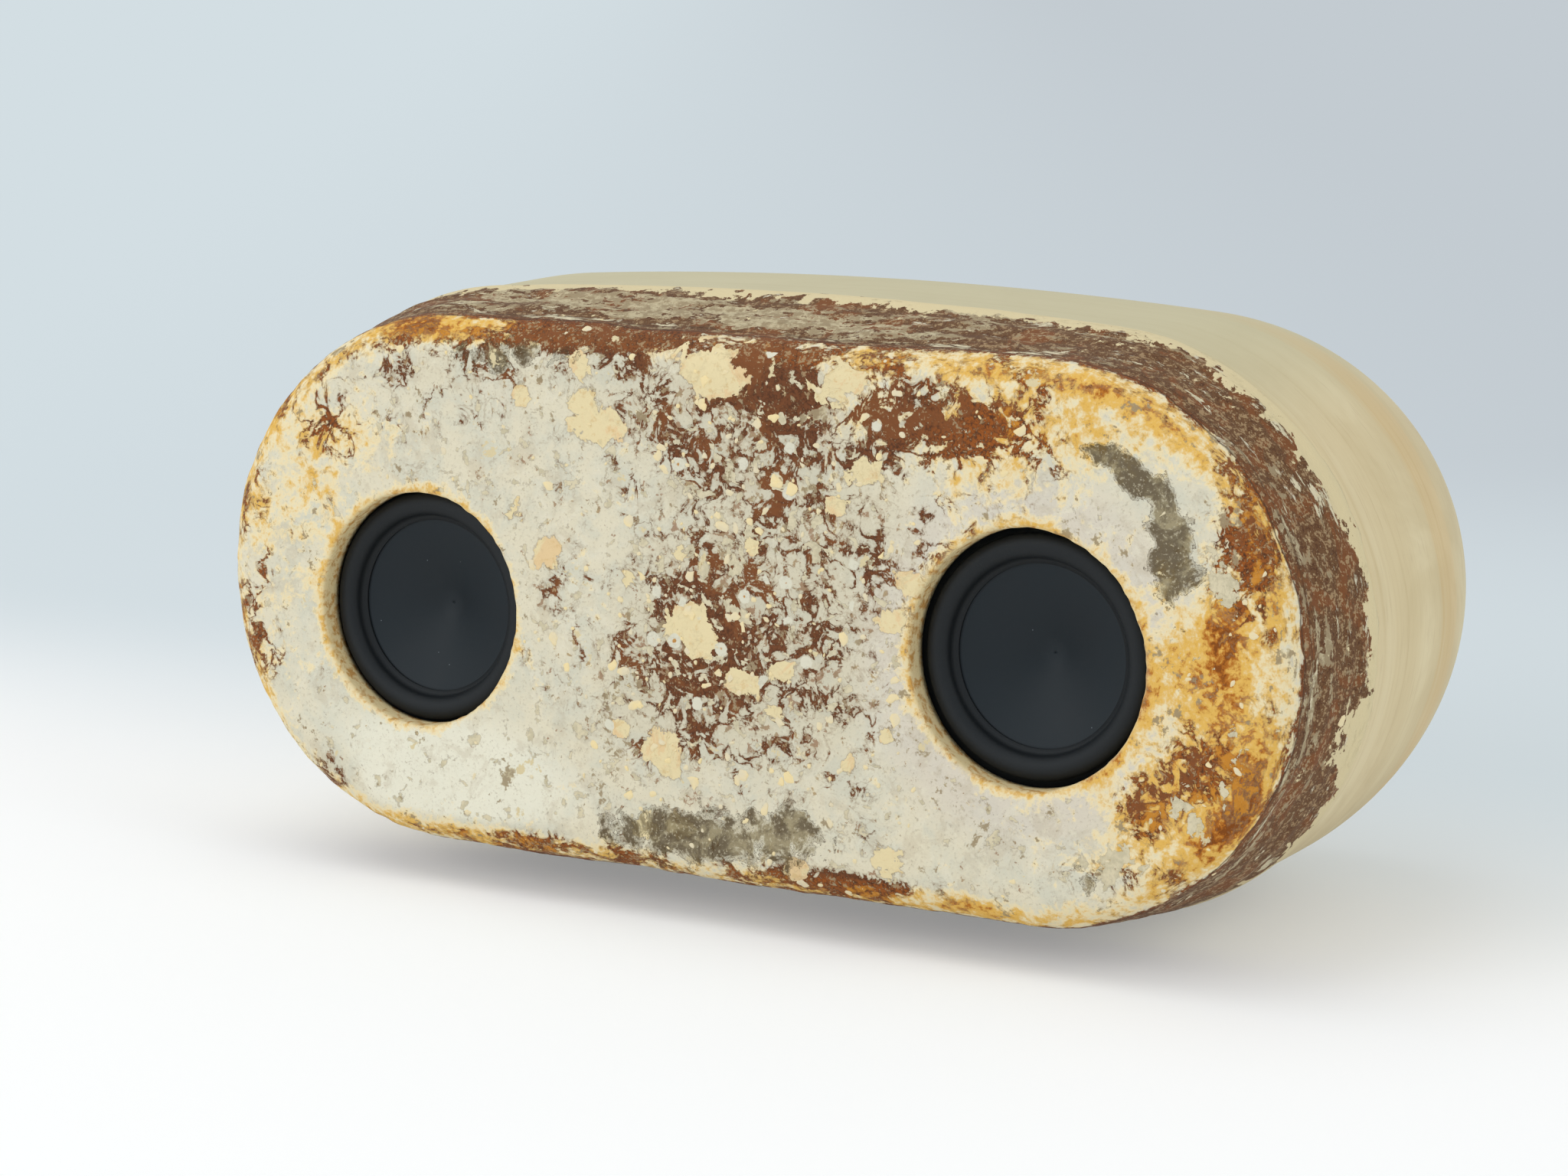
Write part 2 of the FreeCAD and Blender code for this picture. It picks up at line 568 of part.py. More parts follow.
def driver_frame(centre):
    """A pressed frame: flange, windowed bowl with a spider shelf, magnet seat and terminal lug."""
    seat = SEAT_RADIUS
    slope = frame_slope()
    shelf_radius = spider_shelf_radius()
    shelf_back = SPIDER_SHELF_DEPTH + SPIDER_SHELF_THICKNESS
    shelf_back_radius = THROAT_RADIUS - slope * (shelf_back - FLANGE_THICKNESS)
    seat_back = FRAME_SEAT_DEPTH + FRAME_SEAT_THICKNESS
    bore = FORMER_RADIUS + COIL_THICKNESS + COIL_GAP + SPIDER_SHELF_WIDTH
    bowl = turned(polygon([
        (THROAT_RADIUS, 0),
        (FLANGE_RADIUS, 0),
        (FLANGE_RADIUS, FLANGE_THICKNESS),
        (THROAT_RADIUS + FRAME_WALL, FLANGE_THICKNESS),
        (seat + FRAME_WALL, FRAME_SEAT_DEPTH),
        (seat + FRAME_WALL, seat_back),
        (bore, seat_back),
        (bore, FRAME_SEAT_DEPTH),
        (seat, FRAME_SEAT_DEPTH),
        (shelf_back_radius, shelf_back),
        (shelf_radius - SPIDER_SHELF_WIDTH, shelf_back),
        (shelf_radius - SPIDER_SHELF_WIDTH, SPIDER_SHELF_DEPTH),
        (shelf_radius, SPIDER_SHELF_DEPTH),
        (THROAT_RADIUS, FLANGE_THICKNESS),
    ]), centre[0], FLANGE_FRONT, centre[1])
    cuts = frame_windows(centre)
    for place in driver_screw_places(centre):
        hole = DRIVER_SCREW_DIAMETER / 2 + SCREW_CLEARANCE
        cuts.append(ring(0, hole, FLANGE_FRONT, FLANGE_THICKNESS, place))
    lug_height = LUG_REACH + FRAME_WALL
    lug = block(LUG_WIDTH, FRAME_SEAT_THICKNESS, lug_height,
                centre[0], FLANGE_FRONT + FRAME_SEAT_DEPTH, centre[1] + seat + lug_height / 2)
    return bowl.cut(cuts).fuse(lug).removeSplitter()


def frame_windows(centre):
    """The openings between the frame's legs, behind the spider shelf and in front of the magnet seat."""
    shelf_back = SPIDER_SHELF_DEPTH + SPIDER_SHELF_THICKNESS
    opening = FRAME_SEAT_DEPTH - shelf_back
    windows = []
    span = 360 / FRAME_WINDOWS - FRAME_LEG_ANGLE
    for index in range(FRAME_WINDOWS):
        window = Part.makeCylinder(FLANGE_RADIUS, opening, Vector(0, 0, 0), Vector(0, 1, 0), span)
        core = Part.makeCylinder(FORMER_RADIUS, opening, Vector(0, 0, 0), Vector(0, 1, 0))
        window = window.cut(core)
        leg_middle = 360 / FRAME_WINDOWS * index
        window.rotate(Vector(0, 0, 0), Vector(0, 1, 0), leg_middle + FRAME_LEG_ANGLE / 2)
        window.translate(at(centre[0], FLANGE_FRONT + shelf_back, centre[1]))
        windows.append(window)
    return windows


def front_gasket(centre):
    """The foam ring between the flange and the back of the front wall, notched for the screw heads."""
    outer = FLANGE_RADIUS
    foam = ring(outer - GASKET_WIDTH, outer, FRONT_WALL, GASKET_THICKNESS, centre)
    notch = DRIVER_SCREW_HEAD_DIAMETER / 2 + SCREW_CLEARANCE
    notches = [ring(0, notch, FRONT_WALL, GASKET_THICKNESS, place) for place in driver_screw_places(centre)]
    return foam.cut(notches)


def surround(centre):
    """The rubber half-roll: its outer lip lies on the flange, its inner lip on the cone's rim."""
    outer = THROAT_RADIUS
    inner = CONE_RADIUS
    thin = SURROUND_THICKNESS
    middle = (outer + inner) / 2
    crest = -SURROUND_ROLL_HEIGHT
    rim = CONE_RIM_DEPTH
    return turned([
        line((inner - CONE_RIM_WIDTH, rim), (inner, rim)),
        line((inner, rim), (inner + thin, 0)),
        arc((inner + thin, 0), (middle, crest + thin), (outer - thin, 0)),
        line((outer - thin, 0), (outer + SURROUND_LIP_WIDTH, 0)),
        line((outer + SURROUND_LIP_WIDTH, 0), (outer + SURROUND_LIP_WIDTH, -thin)),
        line((outer + SURROUND_LIP_WIDTH, -thin), (outer, -thin)),
        arc((outer, -thin), (middle, crest), (inner, -thin)),
        line((inner, -thin), (inner - thin, rim - thin)),
        line((inner - thin, rim - thin), (inner - CONE_RIM_WIDTH, rim - thin)),
        line((inner - CONE_RIM_WIDTH, rim - thin), (inner - CONE_RIM_WIDTH, rim)),
    ], centre[0], FLANGE_FRONT, centre[1])


def cone_slope():
    """How fast the cone deepens towards its middle, and where its round tip starts."""
    run = CONE_RADIUS - CONE_RIM_WIDTH
    angle = math.atan2(CONE_DEPTH, run)
    return run, angle, CONE_TIP_ROUND * math.sin(angle)


def cone(centre):
    """The one-piece diaphragm: flat gluing rim, straight flank and a rounded hollow tip."""
    run, angle, tip_start = cone_slope()
    thick = CONE_THICKNESS / math.cos(angle)
    rim = CONE_RIM_DEPTH

    def flank(radius):
        return rim + (run - radius) * math.tan(angle)

    def tip(share, extra):
        turn = angle * share
        round_centre = flank(tip_start) - CONE_TIP_ROUND * math.cos(angle)
        return (CONE_TIP_ROUND * math.sin(turn), round_centre + CONE_TIP_ROUND * math.cos(turn) + extra)

    return turned([
        line((CONE_RADIUS, rim), (run, rim)),
        line((run, rim), (tip_start, flank(tip_start))),
        arc(tip(1, 0), tip(0.5, 0), tip(0, 0)),
        line(tip(0, 0), tip(0, thick)),
        arc(tip(0, thick), tip(0.5, thick), tip(1, thick)),
        line((tip_start, flank(tip_start) + thick), (run, rim + thick)),
        line((run, rim + thick), (CONE_RADIUS, rim + thick)),
        line((CONE_RADIUS, rim + thick), (CONE_RADIUS, rim)),
    ], centre[0], FLANGE_FRONT, centre[1])


def former_top():
    """Depth behind the flange's front where the former meets the back of the cone."""
    run, angle, _ = cone_slope()
    return CONE_RIM_DEPTH + (run - FORMER_RADIUS) * math.tan(angle) + CONE_THICKNESS / math.cos(angle)


def former_end():
    return former_top() + FORMER_LENGTH


def voice_coil_former(centre):
    """The thin tube that carries the winding, its front edge cut to the cone's slope."""
    _, angle, _ = cone_slope()
    inner = FORMER_RADIUS - FORMER_WALL
    return turned(polygon([
        (inner, former_top() + FORMER_WALL * math.tan(angle)),
        (FORMER_RADIUS, former_top()),
        (FORMER_RADIUS, former_end()),
        (inner, former_end()),
    ]), centre[0], FLANGE_FRONT, centre[1])


def voice_coil(centre):
    """The winding round the former's inner end."""
    start = FLANGE_FRONT + former_end() - COIL_LENGTH
    return ring(FORMER_RADIUS, FORMER_RADIUS + COIL_THICKNESS, start, COIL_LENGTH, centre)


def spider(centre):
    """The pleated disc that centres the former: its outer edge lies on the frame's shelf."""
    shelf_radius = spider_shelf_radius()
    lip_start = shelf_radius - SPIDER_SHELF_WIDTH
    edge = shelf_radius - SEAT_CLEARANCE - frame_slope()
    inner = FORMER_RADIUS + THREAD_CLEARANCE
    step = (lip_start - inner) / (2 * SPIDER_RIDGES)
    folds = [(inner + step * k, -SPIDER_RIDGE if k % 2 else 0.0) for k in range(2 * SPIDER_RIDGES)]
    upper = folds + [(lip_start, 0.0), (edge, 0.0)]
    lower = [(radius, depth - SPIDER_THICKNESS) for radius, depth in reversed(upper)]
    return turned(polygon(upper + lower), centre[0], FLANGE_FRONT + SPIDER_SHELF_DEPTH, centre[1])


def top_plate(centre):
    bore = FORMER_RADIUS + COIL_THICKNESS + COIL_GAP
    return ring(bore, TOP_PLATE_DIAMETER / 2, FLANGE_FRONT + TOP_PLATE_FRONT, TOP_PLATE_THICKNESS, centre)


def magnet(centre):
    return ring(MAGNET_BORE / 2, MAGNET_DIAMETER / 2, FLANGE_FRONT + MAGNET_FRONT, MAGNET_THICKNESS, centre)


def pole_yoke(centre):
    """The back plate and pole, turned as one, with a vent through the pole."""
    vent = POLE_VENT_DIAMETER / 2
    pole = FORMER_RADIUS - FORMER_WALL - COIL_GAP
    back = BACK_PLATE_FRONT + BACK_PLATE_THICKNESS
    return turned(polygon([
        (vent, TOP_PLATE_FRONT),
        (pole, TOP_PLATE_FRONT),
        (pole, BACK_PLATE_FRONT),
        (BACK_PLATE_DIAMETER / 2, BACK_PLATE_FRONT),
        (BACK_PLATE_DIAMETER / 2, back),
        (vent, back),
    ]), centre[0], FLANGE_FRONT, centre[1])


def lug_top(centre):
    """Height of the frame's terminal lug above the cabinet's axis."""
    return centre[1] + SEAT_RADIUS + FRAME_WALL + LUG_REACH


def terminal_board(centre):
    """The insulating tag board on the back of the frame's lug."""
    foot = lug_top(centre) - TERMINAL_BOARD_OVERLAP
    return block(TERMINAL_BOARD_WIDTH, TERMINAL_BOARD_THICKNESS, TERMINAL_BOARD_HEIGHT, centre[0],
                 FLANGE_FRONT + TOP_PLATE_FRONT, foot + TERMINAL_BOARD_HEIGHT / 2)


def tab_place(centre):
    """Depth of the tabs' back faces, and the height of their tips."""
    depth = FLANGE_FRONT + TOP_PLATE_FRONT + TERMINAL_BOARD_THICKNESS + TAB_THICKNESS
    tip = lug_top(centre) - TERMINAL_BOARD_OVERLAP + TERMINAL_BOARD_HEIGHT + TAB_OVERHANG
    return depth, tip


def terminal_tabs(centre):
    depth, tip = tab_place(centre)
    return Part.makeCompound([
        block(TAB_WIDTH, TAB_THICKNESS, TAB_LENGTH, centre[0] + side * TAB_SPACING / 2,
              depth - TAB_THICKNESS, tip - TAB_LENGTH / 2)
        for side in (-1, 1)
    ])


def board_holes():
    """The board's four screw holes."""
    reach_x = BOARD_LENGTH / 2 - BOARD_HOLE_INSET
    reach_z = BOARD_HEIGHT / 2 - BOARD_HOLE_INSET
    return [(BOARD_X + sx * reach_x, sz * reach_z) for sz in (1, -1) for sx in (-1, 1)]


def board_screw_bite():
    """How far a board screw goes into the wooden back."""
    return BOARD_SCREW_LENGTH - BOARD_SCREW_HEAD - BOARD_THICKNESS - STANDOFF_LENGTH


def amplifier_board():
    board = block(BOARD_LENGTH, BOARD_THICKNESS, BOARD_HEIGHT, BOARD_X, BOARD_FRONT, 0)
    hole = BOARD_SCREW_DIAMETER / 2 + SCREW_CLEARANCE
    return board.cut([ring(0, hole, BOARD_FRONT, BOARD_THICKNESS, place) for place in board_holes()])


def board_standoffs():
    hole = BOARD_SCREW_DIAMETER / 2 + SCREW_CLEARANCE
    return Part.makeCompound([
        ring(hole, STANDOFF_DIAMETER / 2, BOARD_BACK, STANDOFF_LENGTH, place) for place in board_holes()
    ])


def board_screws():
    return Part.makeCompound([
        flat_head_screw(place, BOARD_FRONT - BOARD_SCREW_HEAD, BOARD_SCREW_HEAD_DIAMETER, BOARD_SCREW_HEAD,
                        BOARD_SCREW_DIAMETER, BOARD_SCREW_LENGTH)
        for place in board_holes()
    ])


def amplifier_heatsink():
    """A finned block on the amplifier chip."""
    x = BOARD_X + HEATSINK_X
    front = BOARD_FRONT - HEATSINK_HEIGHT
    solid = block(HEATSINK_SIDE, HEATSINK_HEIGHT, HEATSINK_SIDE, x, front, 0)
    gap = (HEATSINK_SIDE - HEATSINK_FINS * HEATSINK_FIN) / (HEATSINK_FINS - 1)
    slots = []
    for index in range(HEATSINK_FINS - 1):
        middle = -HEATSINK_SIDE / 2 + HEATSINK_FIN + gap / 2 + index * (HEATSINK_FIN + gap)
        slots.append(block(gap, HEATSINK_HEIGHT - HEATSINK_BASE, HEATSINK_SIDE, x + middle, front, 0))
    return solid.cut(slots)


def filter_capacitors():
    x = BOARD_X + CAPACITOR_X
    radius = CAPACITOR_DIAMETER / 2
    front = BOARD_FRONT - CAPACITOR_HEIGHT
    heights = [CAPACITOR_SPACING * (k - (CAPACITORS - 1) / 2) for k in range(CAPACITORS)]
    return Part.makeCompound([ring(0, radius, front, CAPACITOR_HEIGHT, (x, z)) for z in heights])


def radio_module():
    height = BOARD_HEIGHT - 2 * RADIO_END_MARGIN
    return block(RADIO_LENGTH, RADIO_THICKNESS, height, BOARD_X + RADIO_X, BOARD_FRONT - RADIO_THICKNESS, 0)


def terminal_block():
    """The screw terminal strip that all the leads end in."""
    height = BOARD_HEIGHT - 2 * BLOCK_END_MARGIN
    return block(BLOCK_WIDTH, BLOCK_THICKNESS, height, BOARD_X + BLOCK_X, BLOCK_FRONT, 0)


def battery_holder():
    """An open tray on the back of the baffle."""
    inner = CELLS * CELL_DIAMETER + 2 * SEAT_CLEARANCE
    tray = block(HOLDER_LENGTH, HOLDER_HEIGHT, inner + 2 * HOLDER_WALL, 0, BAFFLE_BACK, 0)
    room = block(HOLDER_LENGTH - 2 * HOLDER_WALL, HOLDER_HEIGHT, inner, 0, BAFFLE_BACK + HOLDER_WALL, 0)
    return tray.cut(room)


def battery_cells():
    depth = BAFFLE_BACK + HOLDER_WALL + CELL_DIAMETER / 2
    cells = []
    for index in range(CELLS):
        z = (index - (CELLS - 1) / 2) * CELL_DIAMETER
        start = at(-CELL_LENGTH / 2, depth, z)
        cells.append(Part.makeCylinder(CELL_DIAMETER / 2, CELL_LENGTH, start, Vector(1, 0, 0)))
    return Part.makeCompound(cells)


def button_place():
    return (CONTROL_SPACING / 2, 0)


def socket_place():
    return (-CONTROL_SPACING / 2, 0)


def power_button_bushing():
    """The threaded sleeve: flange in the back's recess, bore for the cap and stem, closed inner end."""
    bore = BUTTON_DIAMETER / 2 + BUTTON_CLEARANCE
    stem = BUTTON_STEM_DIAMETER / 2 + BUTTON_CLEARANCE
    cap_floor = CONTROL_FLANGE_BACK + BUTTON_PROUD - BUTTON_CAP_THICKNESS - BUTTON_TRAVEL - SEAT_CLEARANCE
    stem_floor = cap_floor - BUTTON_STEM_LENGTH
    body = CONTROL_BODY_DIAMETER / 2
    flange = CONTROL_FLANGE_DIAMETER / 2
    place = button_place()
    return turned(polygon([
        (0, CONTROL_INNER_END),
        (body, CONTROL_INNER_END),
        (body, RECESS_FLOOR),
        (flange, RECESS_FLOOR),
        (flange, CONTROL_FLANGE_BACK),
        (bore, CONTROL_FLANGE_BACK),
        (bore, cap_floor),
        (stem, cap_floor),
        (stem, stem_floor),
        (0, stem_floor),
    ]), place[0], 0, place[1])


def power_button():
    """The pressed cap and its stem, with a shallow finger dish."""
    cap = BUTTON_DIAMETER / 2
    stem = BUTTON_STEM_DIAMETER / 2
    top = CONTROL_FLANGE_BACK + BUTTON_PROUD
    under = top - BUTTON_CAP_THICKNESS
    dish_edge = cap - BUTTON_PROUD
    dish_radius = (dish_edge ** 2 + BUTTON_PROUD ** 2) / (2 * BUTTON_PROUD)
    dish_rise = dish_radius - math.sqrt(dish_radius ** 2 - dish_edge ** 2 / 4)
    dish_half = (dish_edge / 2, top - BUTTON_PROUD + dish_rise)
    place = button_place()
    return turned([
        line((0, under - BUTTON_STEM_LENGTH), (stem, under - BUTTON_STEM_LENGTH)),
        line((stem, under - BUTTON_STEM_LENGTH), (stem, under)),
        line((stem, under), (cap, under)),
        line((cap, under), (cap, top)),
        line((cap, top), (dish_edge, top)),
        arc((dish_edge, top), dish_half, (0, top - BUTTON_PROUD)),
        line((0, top - BUTTON_PROUD), (0, under - BUTTON_STEM_LENGTH)),
    ], place[0], 0, place[1])


def charging_socket():
    """A round panel socket with a flat pill-shaped slot."""
    place = socket_place()
    body = ring(0, CONTROL_BODY_DIAMETER / 2, CONTROL_INNER_END, RECESS_FLOOR - CONTROL_INNER_END, place)
    flange = ring(0, CONTROL_FLANGE_DIAMETER / 2, RECESS_FLOOR, CONTROL_FLANGE_THICKNESS, place)
    slot_floor = CONTROL_FLANGE_BACK - SOCKET_SLOT_DEPTH
    reach = (SOCKET_SLOT_WIDTH - SOCKET_SLOT_HEIGHT) / 2
    slot = block(2 * reach, SOCKET_SLOT_DEPTH, SOCKET_SLOT_HEIGHT, place[0], slot_floor, place[1])
    ends = [
        ring(0, SOCKET_SLOT_HEIGHT / 2, slot_floor, SOCKET_SLOT_DEPTH, (place[0] + side * reach, place[1]))
        for side in (-1, 1)
    ]
    return body.fuse(flange).removeSplitter().cut([slot] + ends)


def charging_contact():
    """The flat tongue that carries the socket's contacts."""
    place = socket_place()
    slot_floor = CONTROL_FLANGE_BACK - SOCKET_SLOT_DEPTH
    return block(SOCKET_TONGUE_WIDTH, SOCKET_TONGUE_LENGTH, SOCKET_TONGUE_THICKNESS,
                 place[0], slot_floor, place[1])


def control_nut(place):
    """The hexagon nut on the inside of the back."""
    reach = CONTROL_NUT_ACROSS_FLATS / math.sqrt(3)
    start = CAVITY_BACK - CONTROL_NUT_THICKNESS
    corners = []
    for corner in range(NUT_SIDES + 1):
        turn = 2 * math.pi * corner / NUT_SIDES
        corners.append(at(place[0] + reach * math.cos(turn), start, place[1] + reach * math.sin(turn)))
    blank = Part.Face(Part.makePolygon(corners)).extrude(Vector(0, CONTROL_NUT_THICKNESS, 0))
    bore = CONTROL_BODY_DIAMETER / 2 + THREAD_CLEARANCE
    return blank.cut(ring(0, bore, start, CONTROL_NUT_THICKNESS, place))


def foot_places():
    reach = CABINET_LENGTH / 2 - FOOT_INSET_X
    return [(x, depth) for depth in (FRONT_FOOT_DEPTH, REAR_FOOT_DEPTH) for x in (-reach, reach)]


def foot_screw_bite():
    """How far a foot screw goes into the wood."""
    return FOOT_SCREW_LENGTH - FOOT_SCREW_HEAD - (FOOT_HEIGHT - FOOT_SCREW_RECESS)


def standing(edges, x, depth):
    """A body of revolution about an upright axis, from a closed radius-height outline."""
    solid = face_of(edges).revolve(Vector(0, 0, 0), Vector(0, 1, 0), 360)
    solid.rotate(Vector(0, 0, 0), Vector(1, 0, 0), 90)
    solid.translate(at(x, depth, -CENTRE_Z))
    return solid


def rubber_foot(x, depth):
    """A tapered foot with a rounded tread edge and a recess for its screw."""
    hole = FOOT_SCREW_DIAMETER / 2 + SCREW_CLEARANCE
    recess = FOOT_SCREW_HEAD_DIAMETER / 2 + SEAT_CLEARANCE
    base = FOOT_BASE_DIAMETER / 2
    step = FOOT_EDGE_ROUND * (1 - math.sqrt(0.5))
    head_top = FOOT_SCREW_RECESS
    return standing([
        line((recess, 0), (base - FOOT_EDGE_ROUND, 0)),
        arc((base - FOOT_EDGE_ROUND, 0), (base - step, step), (base, FOOT_EDGE_ROUND)),
        line((base, FOOT_EDGE_ROUND), (FOOT_DIAMETER / 2, FOOT_HEIGHT)),
        line((FOOT_DIAMETER / 2, FOOT_HEIGHT), (hole, FOOT_HEIGHT)),
        line((hole, FOOT_HEIGHT), (hole, head_top)),
        line((hole, head_top), (recess, head_top)),
        line((recess, head_top), (recess, 0)),
    ], x, depth)


def foot_screws():
    head = FOOT_SCREW_HEAD_DIAMETER / 2
    shank = FOOT_SCREW_DIAMETER / 2
    under = FOOT_SCREW_RECESS
    base = under - FOOT_SCREW_HEAD
    tip = base + FOOT_SCREW_LENGTH
    corners = [(0, base), (head, base), (head, under), (shank, under), (shank, tip), (0, tip)]
    return Part.makeCompound([standing(polygon(corners), x, depth) for x, depth in foot_places()])


def lead(points):
    """A round two-core lead along straight runs, with each corner rounded as far as its runs allow."""
    edges = []
    here = points[0]
    for before, corner, after in zip(points, points[1:], points[2:]):
        run_in = (corner - before).normalize()
        run_out = (after - corner).normalize()
        turn = run_in.getAngle(run_out)
        shorter = min((corner - before).Length, (after - corner).Length)
        cut = LEAD_ARC_SHARE * shorter
        radius = cut / math.tan(turn / 2)
        start = corner - run_in * cut
        end = corner + run_out * cut
        inward = (run_out - run_in).normalize()
        middle = corner + inward * (radius / math.cos(turn / 2) - radius)
        edges.append(Part.makeLine(here, start))
        edges.append(Part.Arc(start, middle, end).toShape())
        here = end
    edges.append(Part.makeLine(here, points[-1]))
    path = Part.Wire(edges)
    section = Part.Wire(Part.makeCircle(LEAD_DIAMETER / 2, points[0], points[1] - points[0]))
    return path.makePipeShell([section], True, True)


def block_entry(terminal):
    """Where a lead meets the terminal strip, counted in terminals up from its middle."""
    return BOARD_X + BLOCK_X, BLOCK_FRONT, terminal * (LEAD_DIAMETER + 2 * SEAT_CLEARANCE)


def speaker_lead(centre, terminal):
    """From a driver's tabs back over the magnet and in to the terminal strip."""
    depth, tip = tab_place(centre)
    x, end, z = block_entry(terminal)
    height = tip - LEAD_DIAMETER / 2
    reach = end - depth
    side = x - centre[0]
    return lead([
        leaned_point(centre[0], depth, height),
        leaned_point(centre[0], depth + LEAD_FIRST_RUN * reach, height),
        at(centre[0] + LEAD_CROSSING * side, depth + LEAD_CROSSING * reach, height + LEAD_DIAMETER),
        at(x, end - LEAD_LAST_RUN * reach, z),
        at(x, end, z),
    ])


def battery_lead():
    """From the holder's end round to the terminal strip."""
    x, end, z = block_entry(BATTERY_TERMINAL)
    start_x = -HOLDER_LENGTH / 2
    depth = BAFFLE_BACK + HOLDER_HEIGHT / 2
    return lead([
        leaned_point(start_x, depth, z),
        leaned_point(start_x - HOLDER_LEAD_RUN, depth, z),
        at(x, depth + BLOCK_LEAD_RUN, z + LEAD_DIAMETER),
        at(x, end - BLOCK_LEAD_RUN, z),
        at(x, end, z),
    ])


def control_lead(place, terminal, rise):
    """From the inner end of a control, forward and round to the terminal strip."""
    x, end, z = block_entry(terminal)
    turn_depth = end - CONTROL_LEAD_RUN
    return lead([
        at(place[0], CONTROL_INNER_END, place[1]),
        at(place[0], turn_depth, place[1]),
        at((place[0] + x) / 2, turn_depth - CONTROL_LEAD_RUN, z + rise),
        at(x, turn_depth, z),
        at(x, end, z),
    ])


DRIVER_PIECES = {
    "frame": driver_frame,
    "front_gasket": front_gasket,
    "surround": surround,
    "cone": cone,
    "voice_coil_former": voice_coil_former,
    "voice_coil": voice_coil,
    "spider": spider,
    "top_plate": top_plate,
    "magnet": magnet,
    "pole_yoke": pole_yoke,
    "terminal_board": terminal_board,
    "terminal_tabs": terminal_tabs,
}


def main():
    os.makedirs("parts", exist_ok=True)
    save("mycelium_front_shell", mycelium_front_shell())
    save("wooden_rear_shell", wooden_rear_shell())
    save("joining_frame", lean(joining_frame()))
    save("driver_baffle", lean(driver_baffle()))
    for name, place in zip(("upper_left", "upper_right", "lower_left", "lower_right"), post_places()):
        save(f"baffle_post_{name}", lean(baffle_post(place)))
    save("chassis_screws", lean(chassis_screws()))
    for side, centre in (("left", LEFT_DRIVER), ("right", RIGHT_DRIVER)):
        for name, make in DRIVER_PIECES.items():
            save(f"{side}_{name}", lean(make(centre)))
    save("driver_screws", lean(driver_screws()))
    save("amplifier_board", amplifier_board())
    save("board_standoffs", board_standoffs())
    save("board_screws", board_screws())
    save("amplifier_heatsink", amplifier_heatsink())
    save("filter_capacitors", filter_capacitors())
    save("radio_module", radio_module())
    save("terminal_block", terminal_block())
    save("battery_holder", lean(battery_holder()))
    save("battery_cells", lean(battery_cells()))
    save("power_button_bushing", power_button_bushing())
    save("power_button", power_button())
    save("power_button_nut", control_nut(button_place()))
    save("charging_socket", charging_socket())
    save("charging_contact", charging_contact())
    save("charging_socket_nut", control_nut(socket_place()))
    for name, (x, depth) in zip(("front_left", "front_right", "rear_left", "rear_right"), foot_places()):
        save(f"{name}_foot", rubber_foot(x, depth))
    save("foot_screws", foot_screws())
    save("left_speaker_lead", speaker_lead(LEFT_DRIVER, LEFT_SPEAKER_TERMINAL))
    save("right_speaker_lead", speaker_lead(RIGHT_DRIVER, RIGHT_SPEAKER_TERMINAL))
    save("battery_lead", battery_lead())
    save("switch_lead", control_lead(button_place(), SWITCH_TERMINAL, SWITCH_LEAD_RISE))
    save("charging_lead", control_lead(socket_place(), CHARGING_TERMINAL, -CHARGING_LEAD_DROP))


main()
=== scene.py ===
# %% [markdown]
# # A speaker with a grown front
# The front of this speaker is mycelium: fungus threads that were fed on husks in a mould until they filled
# it, and then dried. The back is pale wood, glued up from boards and rounded over. The imported CAD model gives
# every piece its place. This lesson dresses that model, so it starts by loading it.

# %% Load the imported model
import json
import math

import bmesh
import bpy
import numpy as np
from mathutils import Matrix, Vector
from mathutils.geometry import delaunay_2d_cdt
from mathutils.kdtree import KDTree


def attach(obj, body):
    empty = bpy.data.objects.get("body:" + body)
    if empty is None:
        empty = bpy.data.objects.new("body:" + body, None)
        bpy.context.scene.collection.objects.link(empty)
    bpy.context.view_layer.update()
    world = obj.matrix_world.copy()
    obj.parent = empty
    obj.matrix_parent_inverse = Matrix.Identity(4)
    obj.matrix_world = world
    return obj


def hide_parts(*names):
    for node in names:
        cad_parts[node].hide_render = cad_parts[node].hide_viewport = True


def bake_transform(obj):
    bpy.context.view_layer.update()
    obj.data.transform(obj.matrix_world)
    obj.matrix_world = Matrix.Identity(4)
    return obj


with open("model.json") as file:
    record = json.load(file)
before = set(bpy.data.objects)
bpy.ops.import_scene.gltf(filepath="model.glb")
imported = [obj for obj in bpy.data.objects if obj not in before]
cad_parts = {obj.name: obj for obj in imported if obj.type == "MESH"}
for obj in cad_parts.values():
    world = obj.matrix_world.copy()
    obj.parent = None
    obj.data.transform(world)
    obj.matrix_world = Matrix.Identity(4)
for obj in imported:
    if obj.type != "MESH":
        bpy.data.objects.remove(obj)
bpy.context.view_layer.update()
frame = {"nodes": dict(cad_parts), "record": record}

scene = bpy.context.scene
scene.view_settings.view_transform = "Standard"

# %% [markdown]
# Colours are written as hex values, as a paint chart gives them. Blender mixes light in linear numbers, so
# one function converts them. Another adds any node, of a material or of a geometry tree, with its settings,
# its values and its links, and hands back the output that the next node needs. So a node takes one line.

# %% Helpers for colours and nodes
MM = 0.001
# Where a Mix node keeps its sockets for colours
MIX_FACTOR, MIX_A, MIX_B, MIX_RESULT = 0, 6, 7, 2


def linear(hex_colour):
    """A hex colour as linear red, green, blue and alpha."""
    parts = [int(hex_colour[k:k + 2], 16) / 255 for k in (1, 3, 5)]
    return [c / 12.92 if c <= 0.04045 else ((c + 0.055) / 1.055) ** 2.4 for c in parts] + [1.0]


def join(tree, node, inputs):
    """Gives a node its inputs: a socket is linked, and any other value is set."""
    for name, value in inputs.items():
        if isinstance(value, bpy.types.NodeSocket):
            tree.links.new(value, node.inputs[name])
        else:
            node.inputs[name].default_value = value


